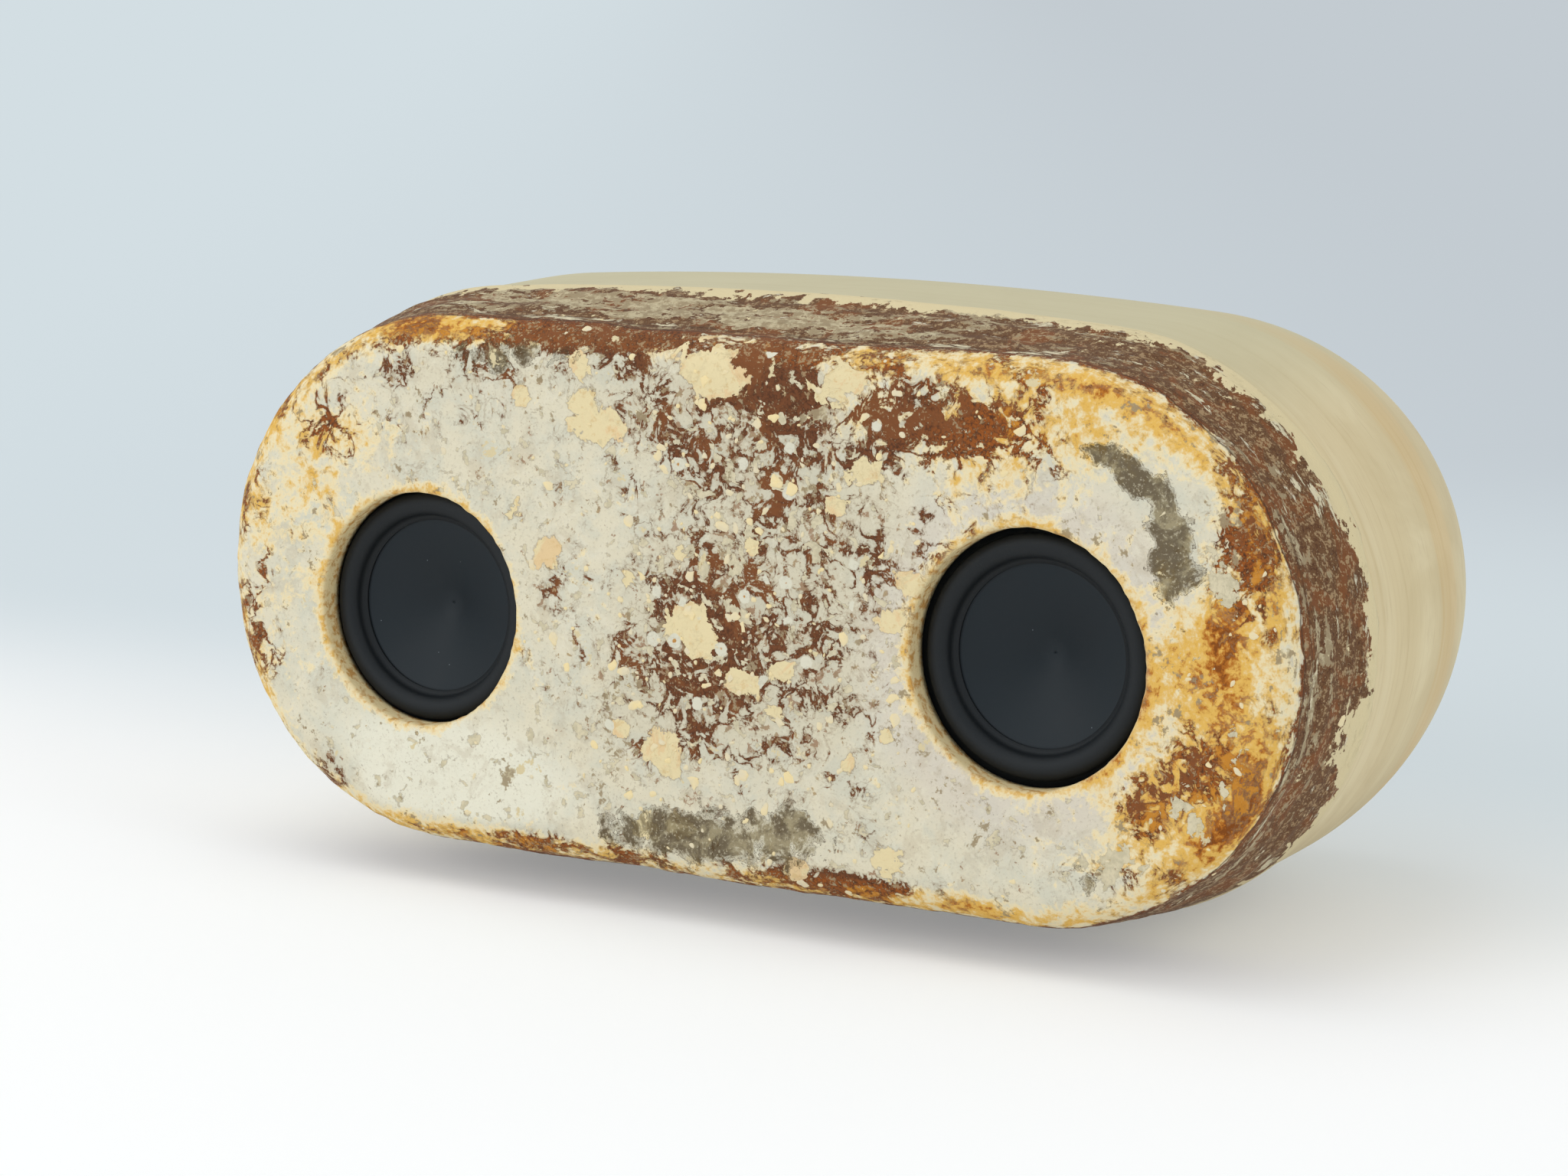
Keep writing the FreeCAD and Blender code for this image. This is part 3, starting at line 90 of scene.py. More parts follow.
def add(tree, kind, inputs=None, out=0, **settings):
    """Adds a node with its settings and inputs, and returns one of its outputs."""
    node = tree.nodes.new(kind)
    for name, value in settings.items():
        setattr(node, name, value)
    join(tree, node, inputs or {})
    return node.outputs[out]


def new_material(name):
    """A new material: returns it with its tree, its shader and the place on the object, in metres."""
    material = bpy.data.materials.new(name)
    material.use_nodes = True
    tree = material.node_tree
    return material, tree, tree.nodes["Principled BSDF"], add(tree, "ShaderNodeTexCoord", out="Object")


print("white is", [round(c, 3) for c in linear("#ffffff")])

# %% [markdown]
# The photograph was taken from the right of the front and a little above. These angles came from fitting a
# camera to the outline, the openings and the seam. The camera is built from three directions, right, up and
# back, because that leaves no doubt about which way it is turned.

# %% Camera
CAMERA_AZIMUTH = math.radians(30.49)
CAMERA_ELEVATION = math.radians(10.77)
CAMERA_ROLL = math.radians(-0.19)
CAMERA_TARGET = Vector((19.72, -76.73, 91.94)) * MM
CAMERA_DISTANCE = 1046.67 * MM
CAMERA_LENS = 93.9
SENSOR_WIDTH = 36.0

back = Vector((
    math.sin(CAMERA_AZIMUTH) * math.cos(CAMERA_ELEVATION),
    -math.cos(CAMERA_AZIMUTH) * math.cos(CAMERA_ELEVATION),
    math.sin(CAMERA_ELEVATION),
))
level_right = Vector((0, 0, 1)).cross(back).normalized()
level_up = back.cross(level_right)
right = level_right * math.cos(CAMERA_ROLL) + level_up * math.sin(CAMERA_ROLL)
up = back.cross(right)
camera = bpy.data.objects.new("camera", bpy.data.cameras.new("camera"))
scene.collection.objects.link(camera)
camera.data.lens = CAMERA_LENS
camera.data.sensor_width = SENSOR_WIDTH
turned_camera = Matrix((right, up, back)).transposed().to_4x4()
camera.matrix_world = Matrix.Translation(CAMERA_TARGET + back * CAMERA_DISTANCE) @ turned_camera
scene.camera = camera
print("camera at", [round(v, 3) for v in camera.matrix_world.translation])

# %% [markdown]
# The object stands on a wide paper sweep in soft even light. A pool of white light lies in front of it and to
# the left, and the paper behind falls off to a pale blue-grey. Close by, the paper is an ordinary matt
# surface that takes the shadow, lightened by a share of plain tone. Further back the camera sees only that
# tone, so that the backdrop stays even. Reflections see it too, and the light that falls on the object
# doesn't change.

# %% Paper for the floor
POOL_SLANT = 0.63
POOL_EDGE = (-0.06, 0.24)
BACKDROP_EDGE = (0.15, 0.75)
BACKDROP_SPREAD = (-0.5, 0.5)
PAPER_WHITE, PAPER_BLUE = "#fcfeff", "#d7e1e6"
BACKDROP_LEFT, BACKDROP_RIGHT = "#d3dee3", "#c3cbd1"
SHADOW_FILL = 0.25


def plainly_seen(tree):
    """1 for rays from the camera, from a reflection or through glass, and 0 for the rays that only light."""
    seen = add(tree, "ShaderNodeLightPath", out="Is Camera Ray")
    rays = seen.node.outputs
    for other in ("Is Glossy Ray", "Is Transmission Ray"):
        seen = add(tree, "ShaderNodeMath", {0: seen, 1: rays[other]}, operation="MAXIMUM")
    return seen


floor_material, tree, shader, place = new_material("painted_paper_floor")
away = Vector((-back.x, -back.y, 0)).normalized()
across, behind = (
    add(tree, "ShaderNodeVectorMath", {0: place, 1: tuple(axis)}, "Value", operation="DOT_PRODUCT")
    for axis in (level_right, away)
)
slanted = add(tree, "ShaderNodeMath", {0: across, 1: POOL_SLANT, 2: behind}, operation="MULTIPLY_ADD")
past_pool, to_right, far_back = (
    add(tree, "ShaderNodeMapRange", {"Value": value, "From Min": low, "From Max": high},
        interpolation_type="SMOOTHSTEP")
    for value, (low, high) in ((slanted, POOL_EDGE), (across, BACKDROP_SPREAD), (behind, BACKDROP_EDGE))
)
paper, backdrop = (
    add(tree, "ShaderNodeMix", {MIX_FACTOR: share, MIX_A: linear(first), MIX_B: linear(second)}, MIX_RESULT,
        data_type="RGBA")
    for share, first, second in (
        (past_pool, PAPER_WHITE, PAPER_BLUE), (to_right, BACKDROP_LEFT, BACKDROP_RIGHT))
)
tone = add(tree, "ShaderNodeMix", {MIX_FACTOR: far_back, MIX_A: paper, MIX_B: backdrop}, MIX_RESULT,
           data_type="RGBA")
join(tree, shader, {"Base Color": paper, "Roughness": 0.9, "Specular IOR Level": 0.1})
fill = add(tree, "ShaderNodeMapRange", {"Value": far_back, "To Min": SHADOW_FILL})
plain = add(tree, "ShaderNodeMath", {0: plainly_seen(tree), 1: fill}, operation="MULTIPLY")
even = add(tree, "ShaderNodeEmission", {"Color": tone, "Strength": 1.0})
both = add(tree, "ShaderNodeMixShader", {0: plain, 1: shader.outputs[0], 2: even})
join(tree, tree.nodes["Material Output"], {"Surface": both})
print("floor material:", len(tree.nodes), "nodes")

# %% Floor
FLOOR_RADIUS = 9.0
FLOOR_SEGMENTS = 96

floor_mesh = bpy.data.meshes.new("floor")
bm = bmesh.new()
bmesh.ops.create_circle(bm, cap_ends=True, segments=FLOOR_SEGMENTS, radius=FLOOR_RADIUS)
bm.to_mesh(floor_mesh)
bm.free()
floor_mesh.materials.append(floor_material)
floor = bpy.data.objects.new("floor", floor_mesh)
scene.collection.objects.link(floor)
print("floor", FLOOR_RADIUS * 2, "m across")

# %% [markdown]
# A white tent of sky does most of the lighting. Three large soft lamps give the forms a gentle direction: the
# one overhead puts the shadow under the body, and the two others open up the front and the right end.

# %% Sky and lamps
SKY_TONE, SKY_STRENGTH = "#f9f9f8", 0.66
LAMP_TARGET = Vector((0, 0, 0.08))
# Place in metres, size across in metres, and power in watts
LAMPS = {
    "overhead": ((-0.40, -0.2, 1.5), 1.6, 6.4),
    "front": ((-1.0, -1.7, 0.9), 1.4, 10.5),
    "right": ((1.6, -0.3, 0.9), 1.2, 6.2),
}

world = bpy.data.worlds.new("tent")
scene.world = world
world.use_nodes = True
tree = world.node_tree
sky = tree.nodes["Background"]
join(tree, sky, {"Color": linear(SKY_TONE), "Strength": SKY_STRENGTH})
beyond = add(tree, "ShaderNodeBackground", {"Color": linear(BACKDROP_LEFT), "Strength": 1.0})
both = add(tree, "ShaderNodeMixShader", {0: plainly_seen(tree), 1: sky.outputs[0], 2: beyond})
join(tree, tree.nodes["World Output"], {"Surface": both})

for name, (where, size, power) in LAMPS.items():
    lamp = bpy.data.lights.new(name, "AREA")
    lamp.shape = "DISK"
    lamp.size = size
    lamp.energy = power
    holder = bpy.data.objects.new(name, lamp)
    scene.collection.objects.link(holder)
    holder.location = where
    holder.rotation_mode = "QUATERNION"
    holder.rotation_quaternion = (Vector(where) - LAMP_TARGET).to_track_quat("Z", "Y")
print("lamps", ", ".join(LAMPS))

# %% [markdown]
# Every shell of this object follows one rule: a pill outline, carried back through the depth while its radius
# changes. The wooden back stands level, and its long sides bulge a little. The front leans back, about a
# line near its front edge. So places are worked out in millimetres as x, depth behind the front face, and
# height above the cabinet's axis. Two functions turn them into the model's frame, and one turns them back.

# %% The cabinet's sizes and its outline, in millimetres
HALF_STRAIGHT = 89.2
END_RADIUS = 75.8
SIDE_CROWN = 3.2
FRONT_Y = -77.231
CENTRE_Z = 83.0
FRONT_LEAN = math.radians(3.3)
LEAN_DEPTH = 10.0
CROWN_DROP = (HALF_STRAIGHT ** 2 - SIDE_CROWN ** 2) / (2 * SIDE_CROWN)
CROWN_ANGLE = math.atan2(HALF_STRAIGHT, CROWN_DROP)


def level(points):
    """Places of the upright back in the model's frame, in metres."""
    return (np.asarray(points, float) + [0.0, FRONT_Y, CENTRE_Z]) * MM


def leaned(points):
    """Places of the leaning front in the model's frame, in metres."""
    x, depth, z = np.asarray(points, float).T
    depth = depth - LEAN_DEPTH
    return level(np.stack([
        x,
        depth * math.cos(FRONT_LEAN) + z * math.sin(FRONT_LEAN) + LEAN_DEPTH,
        z * math.cos(FRONT_LEAN) - depth * math.sin(FRONT_LEAN),
    ], axis=1))


def unleaned(points):
    """From the model's frame back to x, depth and height on the upright front, in millimetres."""
    x, depth, z = (np.asarray(points, float) / MM - [0.0, FRONT_Y, CENTRE_Z]).T
    depth = depth - LEAN_DEPTH
    return (
        x,
        depth * math.cos(FRONT_LEAN) - z * math.sin(FRONT_LEAN) + LEAN_DEPTH,
        z * math.cos(FRONT_LEAN) + depth * math.sin(FRONT_LEAN),
    )


def pill(radius, depth, side_count, end_count, crowned):
    """One closed pill outline, clockwise from the upper left as the front is seen."""
    angle = CROWN_ANGLE if crowned else 0.0
    share = np.arange(side_count) / side_count
    if crowned:
        bend = angle * (2 * share - 1)
        sweep = math.hypot(HALF_STRAIGHT, CROWN_DROP) + radius
        top = np.stack([sweep * np.sin(bend), sweep * np.cos(bend) - CROWN_DROP], axis=1)
    else:
        top = np.stack([HALF_STRAIGHT * (2 * share - 1), np.full(side_count, radius)], axis=1)
    turn = angle + (math.pi - 2 * angle) * np.arange(end_count) / end_count
    end = np.stack([HALF_STRAIGHT + radius * np.sin(turn), radius * np.cos(turn)], axis=1)
    flat = np.concatenate([top, end, -top, -end])
    return np.stack([flat[:, 0], np.broadcast_to(depth, len(flat)), flat[:, 1]], axis=1)


def circle(x, z, radius, depth, count):
    """A closed circle, or a wandering one where the radius is a list."""
    turn = 2 * math.pi * np.arange(count) / count
    return np.stack([x + radius * np.cos(turn), np.full(count, depth), z + radius * np.sin(turn)], axis=1)


print("crown bends", round(math.degrees(CROWN_ANGLE), 2), "degrees to each side")

# %% [markdown]
# A shell is made of two kinds of surface. A band joins closed outlines row by row with four-sided faces. A
# sheet fills a flat outline that has holes: points are strewn in an even, slightly shaken pattern and joined
# into triangles, so that no direction shows when the surface is roughened later.

# %% Bands
WELD_DISTANCE = 1e-6


class Shell:
    """Collects the bands and sheets of one closed shell and welds them into a mesh."""

    def __init__(self):
        self.points = []
        self.faces = []
        self.count = 0

    def put(self, points, faces):
        self.points.append(np.asarray(points))
        self.faces.extend(tuple(index + self.count for index in face) for face in faces)
        self.count += len(points)

    def band(self, rows):
        size = len(rows[0])
        faces = []
        for row in range(len(rows) - 1):
            low, high = row * size, (row + 1) * size
            faces.extend(
                (low + k, low + (k + 1) % size, high + (k + 1) % size, high + k) for k in range(size))
        self.put(np.concatenate(rows), faces)

    def build(self, name):
        bm = bmesh.new()
        verts = [bm.verts.new(point) for point in np.concatenate(self.points)]
        for face in self.faces:
            bm.faces.new([verts[index] for index in face])
        bmesh.ops.remove_doubles(bm, verts=bm.verts, dist=WELD_DISTANCE)
        bmesh.ops.recalc_face_normals(bm, faces=bm.faces)
        for face in bm.faces:
            face.smooth = True
        mesh = bpy.data.meshes.new(name)
        bm.to_mesh(mesh)
        bm.free()
        thing = bpy.data.objects.new(name, mesh)
        scene.collection.objects.link(thing)
        return thing


print("an empty shell has", Shell().count, "points")

# %% Sheets and wandering lines
SHAKE = 0.22
EDGE_CLEARANCE = 0.62
MERGE_SPAN = 1e-7
WAVE_FALL = 0.75


def inside(point, loops):
    """Whether a point lies within the first loop and outside the others, by counting crossings."""
    crossings = 0
    x, z = point
    for loop in loops:
        after = np.roll(loop, -1, axis=0)
        spans = (loop[:, 1] > z) != (after[:, 1] > z)
        a, b = loop[spans], after[spans]
        reached = a[:, 0] + (z - a[:, 1]) / (b[:, 1] - a[:, 1]) * (b[:, 0] - a[:, 0])
        crossings += np.count_nonzero(x < reached)
    return crossings % 2 == 1


def sheet(outline, holes, spacing, seed, depth):
    """Points and triangles of a flat sheet at one depth. The points of its outline and holes come first."""
    loops = [np.asarray(loop)[:, [0, 2]] for loop in [outline] + holes]
    fixed = np.concatenate(loops)
    low, high = loops[0].min(0), loops[0].max(0)
    heights = np.arange(low[1], high[1], spacing * math.sqrt(0.75))
    lines = [np.arange(low[0] + (k % 2) * spacing / 2, high[0], spacing) for k in range(len(heights))]
    strewn = np.concatenate([
        np.stack([line, np.full_like(line, z)], axis=1) for line, z in zip(lines, heights)])
    strewn += np.random.default_rng(seed).uniform(-SHAKE, SHAKE, strewn.shape) * spacing
    edge = KDTree(len(fixed))
    for index, (x, z) in enumerate(fixed):
        edge.insert((x, z, 0), index)
    edge.balance()
    kept = [point for point in strewn
            if inside(point, loops) and edge.find((*point, 0))[2] > EDGE_CLEARANCE * spacing]
    points = np.concatenate([fixed, np.array(kept).reshape(-1, 2)])
    edges, start = [], 0
    for loop in loops:
        edges.extend((start + k, start + (k + 1) % len(loop)) for k in range(len(loop)))
        start += len(loop)
    made = delaunay_2d_cdt([Vector(point) for point in points], edges, [], 0, MERGE_SPAN)
    corners = np.array([tuple(v) for v in made[0]])
    faces = [face for face in made[2] if inside(corners[face].mean(0), loops)]
    return np.stack([corners[:, 0], np.full(len(corners), depth), corners[:, 1]], axis=1), faces


def ragged(count, waves, seed):
    """A closed wandering line, from -1 to 1, with as many waves as are asked for."""
    draw = np.random.default_rng(seed)
    angle = 2 * math.pi * np.arange(count) / count
    line = np.zeros(count)
    for wave in range(2, waves):
        line += np.cos(wave * angle + draw.uniform(0, 2 * math.pi)) / wave ** WAVE_FALL
    return line / np.abs(line).max()


print("a wandering line starts", np.round(ragged(64, 12, 1)[:4], 2))

# %% [markdown]
# The mycelium front is a leaning cap with a soft edge. It flares back to the upright seam, where its thin
# skin laps over the wood in an uneven line. The two openings were cut by hand, so their edges wander. The
# mesh has a point about every 1.3 mm, enough to carry the lumps that are raised from it later.

# %% The grown front's sides
SKIN_STEP = 1.3
FRONT_SHELL_DEPTH = 40.0
FRONT_EDGE_RADIUS = 72.0
FRONT_EDGE_ROUND = 10.0
FRONT_WALL = 7.5
CAVITY_RADIUS = 62.4
SEAM_RADIUS = 76.6
LIP_RADIUS, LIP_UNDER, LIP_START = 76.15, 75.6, 76.55
LIP_REACH, LIP_WAVES, LIP_SEED = 5.0, 150, 11
SIDE_COUNT = round(2 * HALF_STRAIGHT / SKIN_STEP)
END_COUNT = round(math.pi * FRONT_EDGE_RADIUS / SKIN_STEP)
ROUND_ROWS, FLARE_ROWS = 13, 23


def front_pill(radius, depth, crowned=False):
    return pill(radius, depth, SIDE_COUNT, END_COUNT, crowned)


shell = Shell()
rounding = [
    leaned(front_pill(
        FRONT_EDGE_RADIUS - FRONT_EDGE_ROUND * (1 - math.sin(turn)), FRONT_EDGE_ROUND * (1 - math.cos(turn))))
    for turn in np.linspace(0, math.pi / 2, ROUND_ROWS)
]
seam = level(front_pill(SEAM_RADIUS, FRONT_SHELL_DEPTH, True))
flare = [rounding[-1] + (seam - rounding[-1]) * share for share in np.linspace(0, 1, FLARE_ROWS)]
lap = LIP_REACH * (0.5 + 0.5 * ragged(len(seam), LIP_WAVES, LIP_SEED))
lip_rows = [
    level(front_pill(radius, FRONT_SHELL_DEPTH + lap * share, True))
    for radius, share in ((LIP_START, 0.5), (LIP_RADIUS, 1.0), (LIP_UNDER, 1.0), (LIP_UNDER, 0.0))
]
cavity_seam = level(front_pill(CAVITY_RADIUS, FRONT_SHELL_DEPTH))
cavity_front = leaned(front_pill(CAVITY_RADIUS, FRONT_WALL))
shell.band(rounding)
shell.band(flare + lip_rows + [cavity_seam, cavity_front])
print("lip laps", round(lap.min(), 1), "to", round(lap.max(), 1), "mm over the wood")

# %% Its openings and its face
OPENINGS = {"left": (-94.8, -8.0, 31.7), "right": (89.2, -3.4, 32.9)}
OPENING_CHAMFER = 0.7
OPENING_WANDER, OPENING_WAVES, OPENING_SEED = 0.75, 70, 21
OPENING_POINTS = 260
# How much of the edge's wander is left at each depth of the cut
BORE_STEPS = ((0.45, 0.75), (1.1, 0.45), (2.6, 0.3), (4.6, 0.2), (FRONT_WALL, 0.0))
WALL_STEP = 16.0
FACE_SEED, WALL_SEED = 31, 32

mouths, bores = [], []
for number, (x, z, radius) in enumerate(OPENINGS.values()):
    wander = OPENING_WANDER * ragged(OPENING_POINTS, OPENING_WAVES, OPENING_SEED + number)
    rows = [circle(x, z, radius + OPENING_CHAMFER + wander, 0.0, OPENING_POINTS)]
    for depth, share in BORE_STEPS:
        edge = OPENING_CHAMFER * max(0.0, 1 - depth / OPENING_CHAMFER)
        rows.append(circle(x, z, radius + edge + wander * share, depth, OPENING_POINTS))
    shell.band([leaned(row) for row in rows])
    mouths.append(rows[0])
    bores.append(rows[-1])
for edge, cuts, step, seed, depth in (
        (front_pill(FRONT_EDGE_RADIUS - FRONT_EDGE_ROUND, 0.0), mouths, SKIN_STEP, FACE_SEED, 0.0),
        (front_pill(CAVITY_RADIUS, FRONT_WALL), bores, WALL_STEP, WALL_SEED, FRONT_WALL)):
    points, faces = sheet(edge, cuts, step, seed, depth)
    shell.put(leaned(points), faces)
skin = shell.build("grown_front")
print("grown front:", len(skin.data.vertices), "points,", len(skin.data.polygons), "faces")

# %% [markdown]
# Where the threads were thick the skin dried pale. Where it is thin, the brown husk shows through, and at the
# edges resin left amber stains. These patches have their own places on the real front, so each is painted as
# a soft cloud into an attribute of the mesh. A cloud with a strength below zero keeps its place calm and
# pale. The material breaks the clouds up with fine noise afterwards.

# %% Clouds: place across and up, reach both ways, in millimetres, and strength
BROWN_CLOUDS = [
    (-40, 71, 30, 6, 0.24), (14, 60, 16, 10, 0.52), (10, 38, 16, 16, 0.08), (-2, -10, 20, 22, 0.26),
    (68, 54, 27, 9, 0.34), (146, 27, 9, 18, 0.24), (138, -24, 10, 12, 0.26), (124, -36, 12, 10, 0.22),
    (-150, 2, 7, 34, 0.16), (-124, 40, 14, 14, 0.18), (-126, -57, 10, 8, 0.30), (40, -67, 18, 4, 0.40),
    (118, -57, 14, 8, 0.14), (-80, 66, 34, 8, 0.06), (-22, 50, 18, 14, 0.08), (34, -14, 12, 30, 0.10),
    (-28, -24, 12, 22, 0.08), (-60, -68, 60, 4, 0.20), (6, 4, 48, 80, 0.11), (-70, 62, 70, 18, 0.06),
    (44, 32, 30, 24, 0.12), (-100, 50, 40, 20, 0.06), (150, 0, 8, 60, 0.08), (-147, -24, 9, 28, 0.08),
    (-84, -52, 36, 13, -0.26), (-54, 4, 10, 24, 0.08),
]
AMBER_CLOUDS = [
    (-131, 14, 10, 26, 0.24), (-122, 38, 18, 17, 0.26), (-96, 70, 28, 7, 0.44), (70, 66, 46, 6, 0.12),
    (84, 54, 30, 13, 0.33), (130, -8, 17, 26, 0.38), (146, 14, 9, 40, 0.28), (126, -42, 18, 14, 0.40),
    (-80, -68, 70, 5, 0.22), (60, -69, 50, 4, 0.26), (148, -30, 9, 28, 0.30), (116, 56, 24, 10, 0.21),
    (-148, 0, 9, 50, 0.26), (140, 8, 12, 18, 0.24), (36, 58, 10, 8, 0.20), (-84, -50, 36, 11, -0.12),
    (60, 40, 26, 10, 0.16),
]
FILM_CLOUDS = [
    (-6, -60, 30, 8, 0.50), (24, -54, 12, 7, 0.40), (129, 25, 6, 13, 0.58), (119, 43, 8, 4, 0.46),
    (108, 50, 6, 3, 0.46), (108, -57, 5, 4, 0.45), (-70, 63, 22, 5, 0.38), (125, 36, 4, 6, 0.34),
    (113, 47, 4, 3, 0.28),
]
FLAKE_CLOUDS = [
    (143, 19, 6, 7, 0.20), (147, -17, 4, 8, 0.18), (135, -37, 5, 7, 0.20), (144, -31, 3, 6, 0.16),
    (116, -52, 9, 6, 0.16), (16, 30, 26, 30, 0.04), (0, -4, 26, 26, 0.05),
]
SPOT_CLOUDS = [(2, -10, 32, 34, 0.30), (14, 22, 40, 30, 0.15), (-40, -6, 26, 34, 0.10)]
BARE_CLOUDS = [(-60, 24, 60, 10, 0.24), (10, 18, 50, 7, 0.26), (62, 34, 24, 6, 0.34), (110, 36, 20, 4, 0.16)]
SEAM_CLOUDS = [
    (98, 70, 12, 10, 0.55), (126, 64, 9, 7, 0.65), (150, 46, 6, 8, 0.40), (164, -22, 8, 9, 0.70),
    (150, -46, 8, 8, 0.30),
]
LARGE_CHIPS = [
    (-8, 64, 5.0), (0, 61, 4.2), (-43, 49, 4.6), (-34, 46, 3.4), (34, 61, 5.4), (43, 39, 4.2), (34, 31, 2.6),
    (-11, 15, 2.8), (-53, 11, 3.6), (-9, -2, 4.6), (-5, -8, 3.6), (-17, -36, 4.4), (-14, -41, 3.0),
    (40, -35, 2.8), (53, -58, 3.8), (26, -64, 3.2), (-10, -58, 3.2), (-28, 6, 2.2), (56, 13, 3.2),
    (8, -17, 3.4), (20, -13, 2.4), (-21, -60, 2.6), (-44, 62, 2.6), (17, -24, 2.6), (-29, -34, 2.2),
    (10, 18, 2.0), (-63, 21, 2.6), (51, -27, 2.2), (51, 3, 3.0), (-63, 52, 2.4),
]
CHIP_CLOUDS = [(x, z, 1.6 * reach, 1.4 * reach, 0.62) for x, z, reach in LARGE_CHIPS]


def clouds(x, z, listed):
    """The sum of soft round clouds, each with a place, a reach both ways and a strength."""
    height = np.zeros_like(x)
    for middle_x, middle_z, reach_x, reach_z, strength in listed:
        height += strength * np.exp(-((x - middle_x) / reach_x) ** 2 - ((z - middle_z) / reach_z) ** 2)
    return height


def ease(value, start, end):
    """Goes smoothly from 0 at start to 1 at end."""
    share = np.clip((value - start) / (end - start), 0.0, 1.0)
    return share * share * (3 - 2 * share)


print(len(BROWN_CLOUDS), "brown and", len(AMBER_CLOUDS), "amber clouds,", len(LARGE_CHIPS), "large chips")

# %% Where each point of the skin lies


def read(thing, kind):
    """The places (co) or the normals (normal) of a mesh's points."""
    values = np.empty(len(thing.data.vertices) * 3)
    thing.data.vertices.foreach_get(kind, values)
    return values.reshape(-1, 3)


def paint(thing, name, values):
    """Keeps one number for each point of a mesh, for a material or a tree to read."""
    layer = thing.data.attributes.new(name, "FLOAT", "POINT")
    layer.data.foreach_set("value", np.asarray(values, np.float32))


def on_front(points):
    """x, depth, height, distance from the pill's middle line and distance past the nearer opening's edge."""
    x, depth, z = unleaned(points)
    around = np.hypot(np.maximum(np.abs(x) - HALF_STRAIGHT, 0.0), z)
    to_opening = np.min([np.hypot(x - ox, z - oz) - radius for ox, oz, radius in OPENINGS.values()], axis=0)
    return x, depth, z, around, to_opening


points = read(skin, "co")
x, depth, z, around, to_opening = on_front(points)
behind_front = points[:, 1] / MM - FRONT_Y
# Each zone eases in between two distances in millimetres
on_face = 1 - ease(depth, 3.0, 12.0)
on_side = ease(around, 64.0, 66.0)
band = ease(depth, 4.5, 10.0) * on_side
near_edge = ease(around, 62.0, 68.0) * (1 - band)
outside = np.maximum((1 - ease(depth, 0.3, 0.9)) * ease(to_opening, 0.6, 2.0), on_side)
before_seam = ease(behind_front, FRONT_SHELL_DEPTH + 0.5, FRONT_SHELL_DEPTH - 5.0)
at_seam = ease(behind_front, FRONT_SHELL_DEPTH - 9.0, FRONT_SHELL_DEPTH + 1.0)
low_band = np.exp(-((depth - 14.0) / 8.0) ** 2) * band * ease(z, 60.0, 40.0)
print(np.count_nonzero(on_face > 0.5), "points on the face and", np.count_nonzero(band > 0.5), "on the band")

# %% Paint the skin
# The first two marks are for a geometry tree, and the rest are for the material
TREE_MARKS = ("outside", "band")

marks = {
    "outside": outside * (0.15 + 0.85 * before_seam),
    "band": band,
    "brown": clouds(x, z, BROWN_CLOUDS) * on_face + 0.42 * band + 0.04 * near_edge,
    "amber": clouds(x, z, AMBER_CLOUDS) * on_face + (0.23 + 0.03 * ease(x, 0.0, 40.0)) * near_edge
             + 0.04 * band + 0.40 * np.exp(-(to_opening / 3.0) ** 2),
    "film": clouds(x, z, FILM_CLOUDS) * on_face,
    "spots": clouds(x, z, SPOT_CLOUDS) * on_face,
    "chip": clouds(x, z, CHIP_CLOUDS) * on_face,
    "bare": clouds(x, depth, BARE_CLOUDS) * band * ease(z, 30.0, 60.0) + 0.13 * low_band,
    "seam": (at_seam + clouds(x, z, SEAM_CLOUDS) * ease(behind_front, 20.0, 34.0)) * band,
    "flakes": clouds(x, z, FLAKE_CLOUDS) * on_face + 0.03 * band,
    "rubbed": np.maximum(band, 0.75 * near_edge),
    "halo": np.exp(-(np.maximum(to_opening, 0.0) / 16.0) ** 2) * (x > 0) * on_face,
    "cut": (1 - ease(to_opening, -0.2, 1.2)) * (1 - ease(around, 60.0, 64.0)),
}
for name, values in marks.items():
    paint(skin, name, values)
print("painted", ", ".join(marks))

# %% [markdown]
# A skin like this is painted as a watercolour is, one thin wash over another. So the next functions do what
# the brush does: one adds painted clouds and noise up into a height, and one lays tones down, each wherever
# such a height rises past an edge. A narrow edge tears the wash off crisply, and a wide one lets it run out.

# %% Helpers for washes of colour


def total(tree, start, *parts):
    """A starting value plus other values, each times its weight."""
    for value, weight in parts:
        start = add(tree, "ShaderNodeMath", {0: value, 1: weight, 2: start}, operation="MULTIPLY_ADD")
    return start


def apart(tree, value, target):
    """How far a value is from a target, whichever way."""
    gap = add(tree, "ShaderNodeMath", {0: value, 1: target}, operation="SUBTRACT")
    return add(tree, "ShaderNodeMath", {0: gap}, operation="ABSOLUTE")


def washes(tree, colour, *rows):
    """Lays tones over a colour, each as its value goes from low to high. Also returns the last share."""
    for value, low, high, tone, most in rows:
        share = add(tree, "ShaderNodeMapRange", {
            "Value": value, "From Min": low, "From Max": high, "To Max": most,
        }, interpolation_type="SMOOTHSTEP")
        under, over = (linear(part) if isinstance(part, str) else part for part in (colour, tone))
        colour = add(tree, "ShaderNodeMix", {MIX_FACTOR: share, MIX_A: under, MIX_B: over}, MIX_RESULT,
                     data_type="RGBA")
    return colour, share


print("a wash goes on as", linear("#dcd5bd")[:3])

# %% [markdown]
# Mycelium skin is matt and felted. Its washes go on in the order in which the real layers lie: pale skin,
# amber resin that runs from cream to rust, and brown husk. The husk follows the contour lines of a noise:
# hairlines where there is little of it, and where there is more the lines swell until only pale islands are
# left between them. Flakes, chips and a grey film come last and lie a little higher, which the bump shows.
# The band behind the front edge was rubbed along the seam, so its noise is drawn out that way.

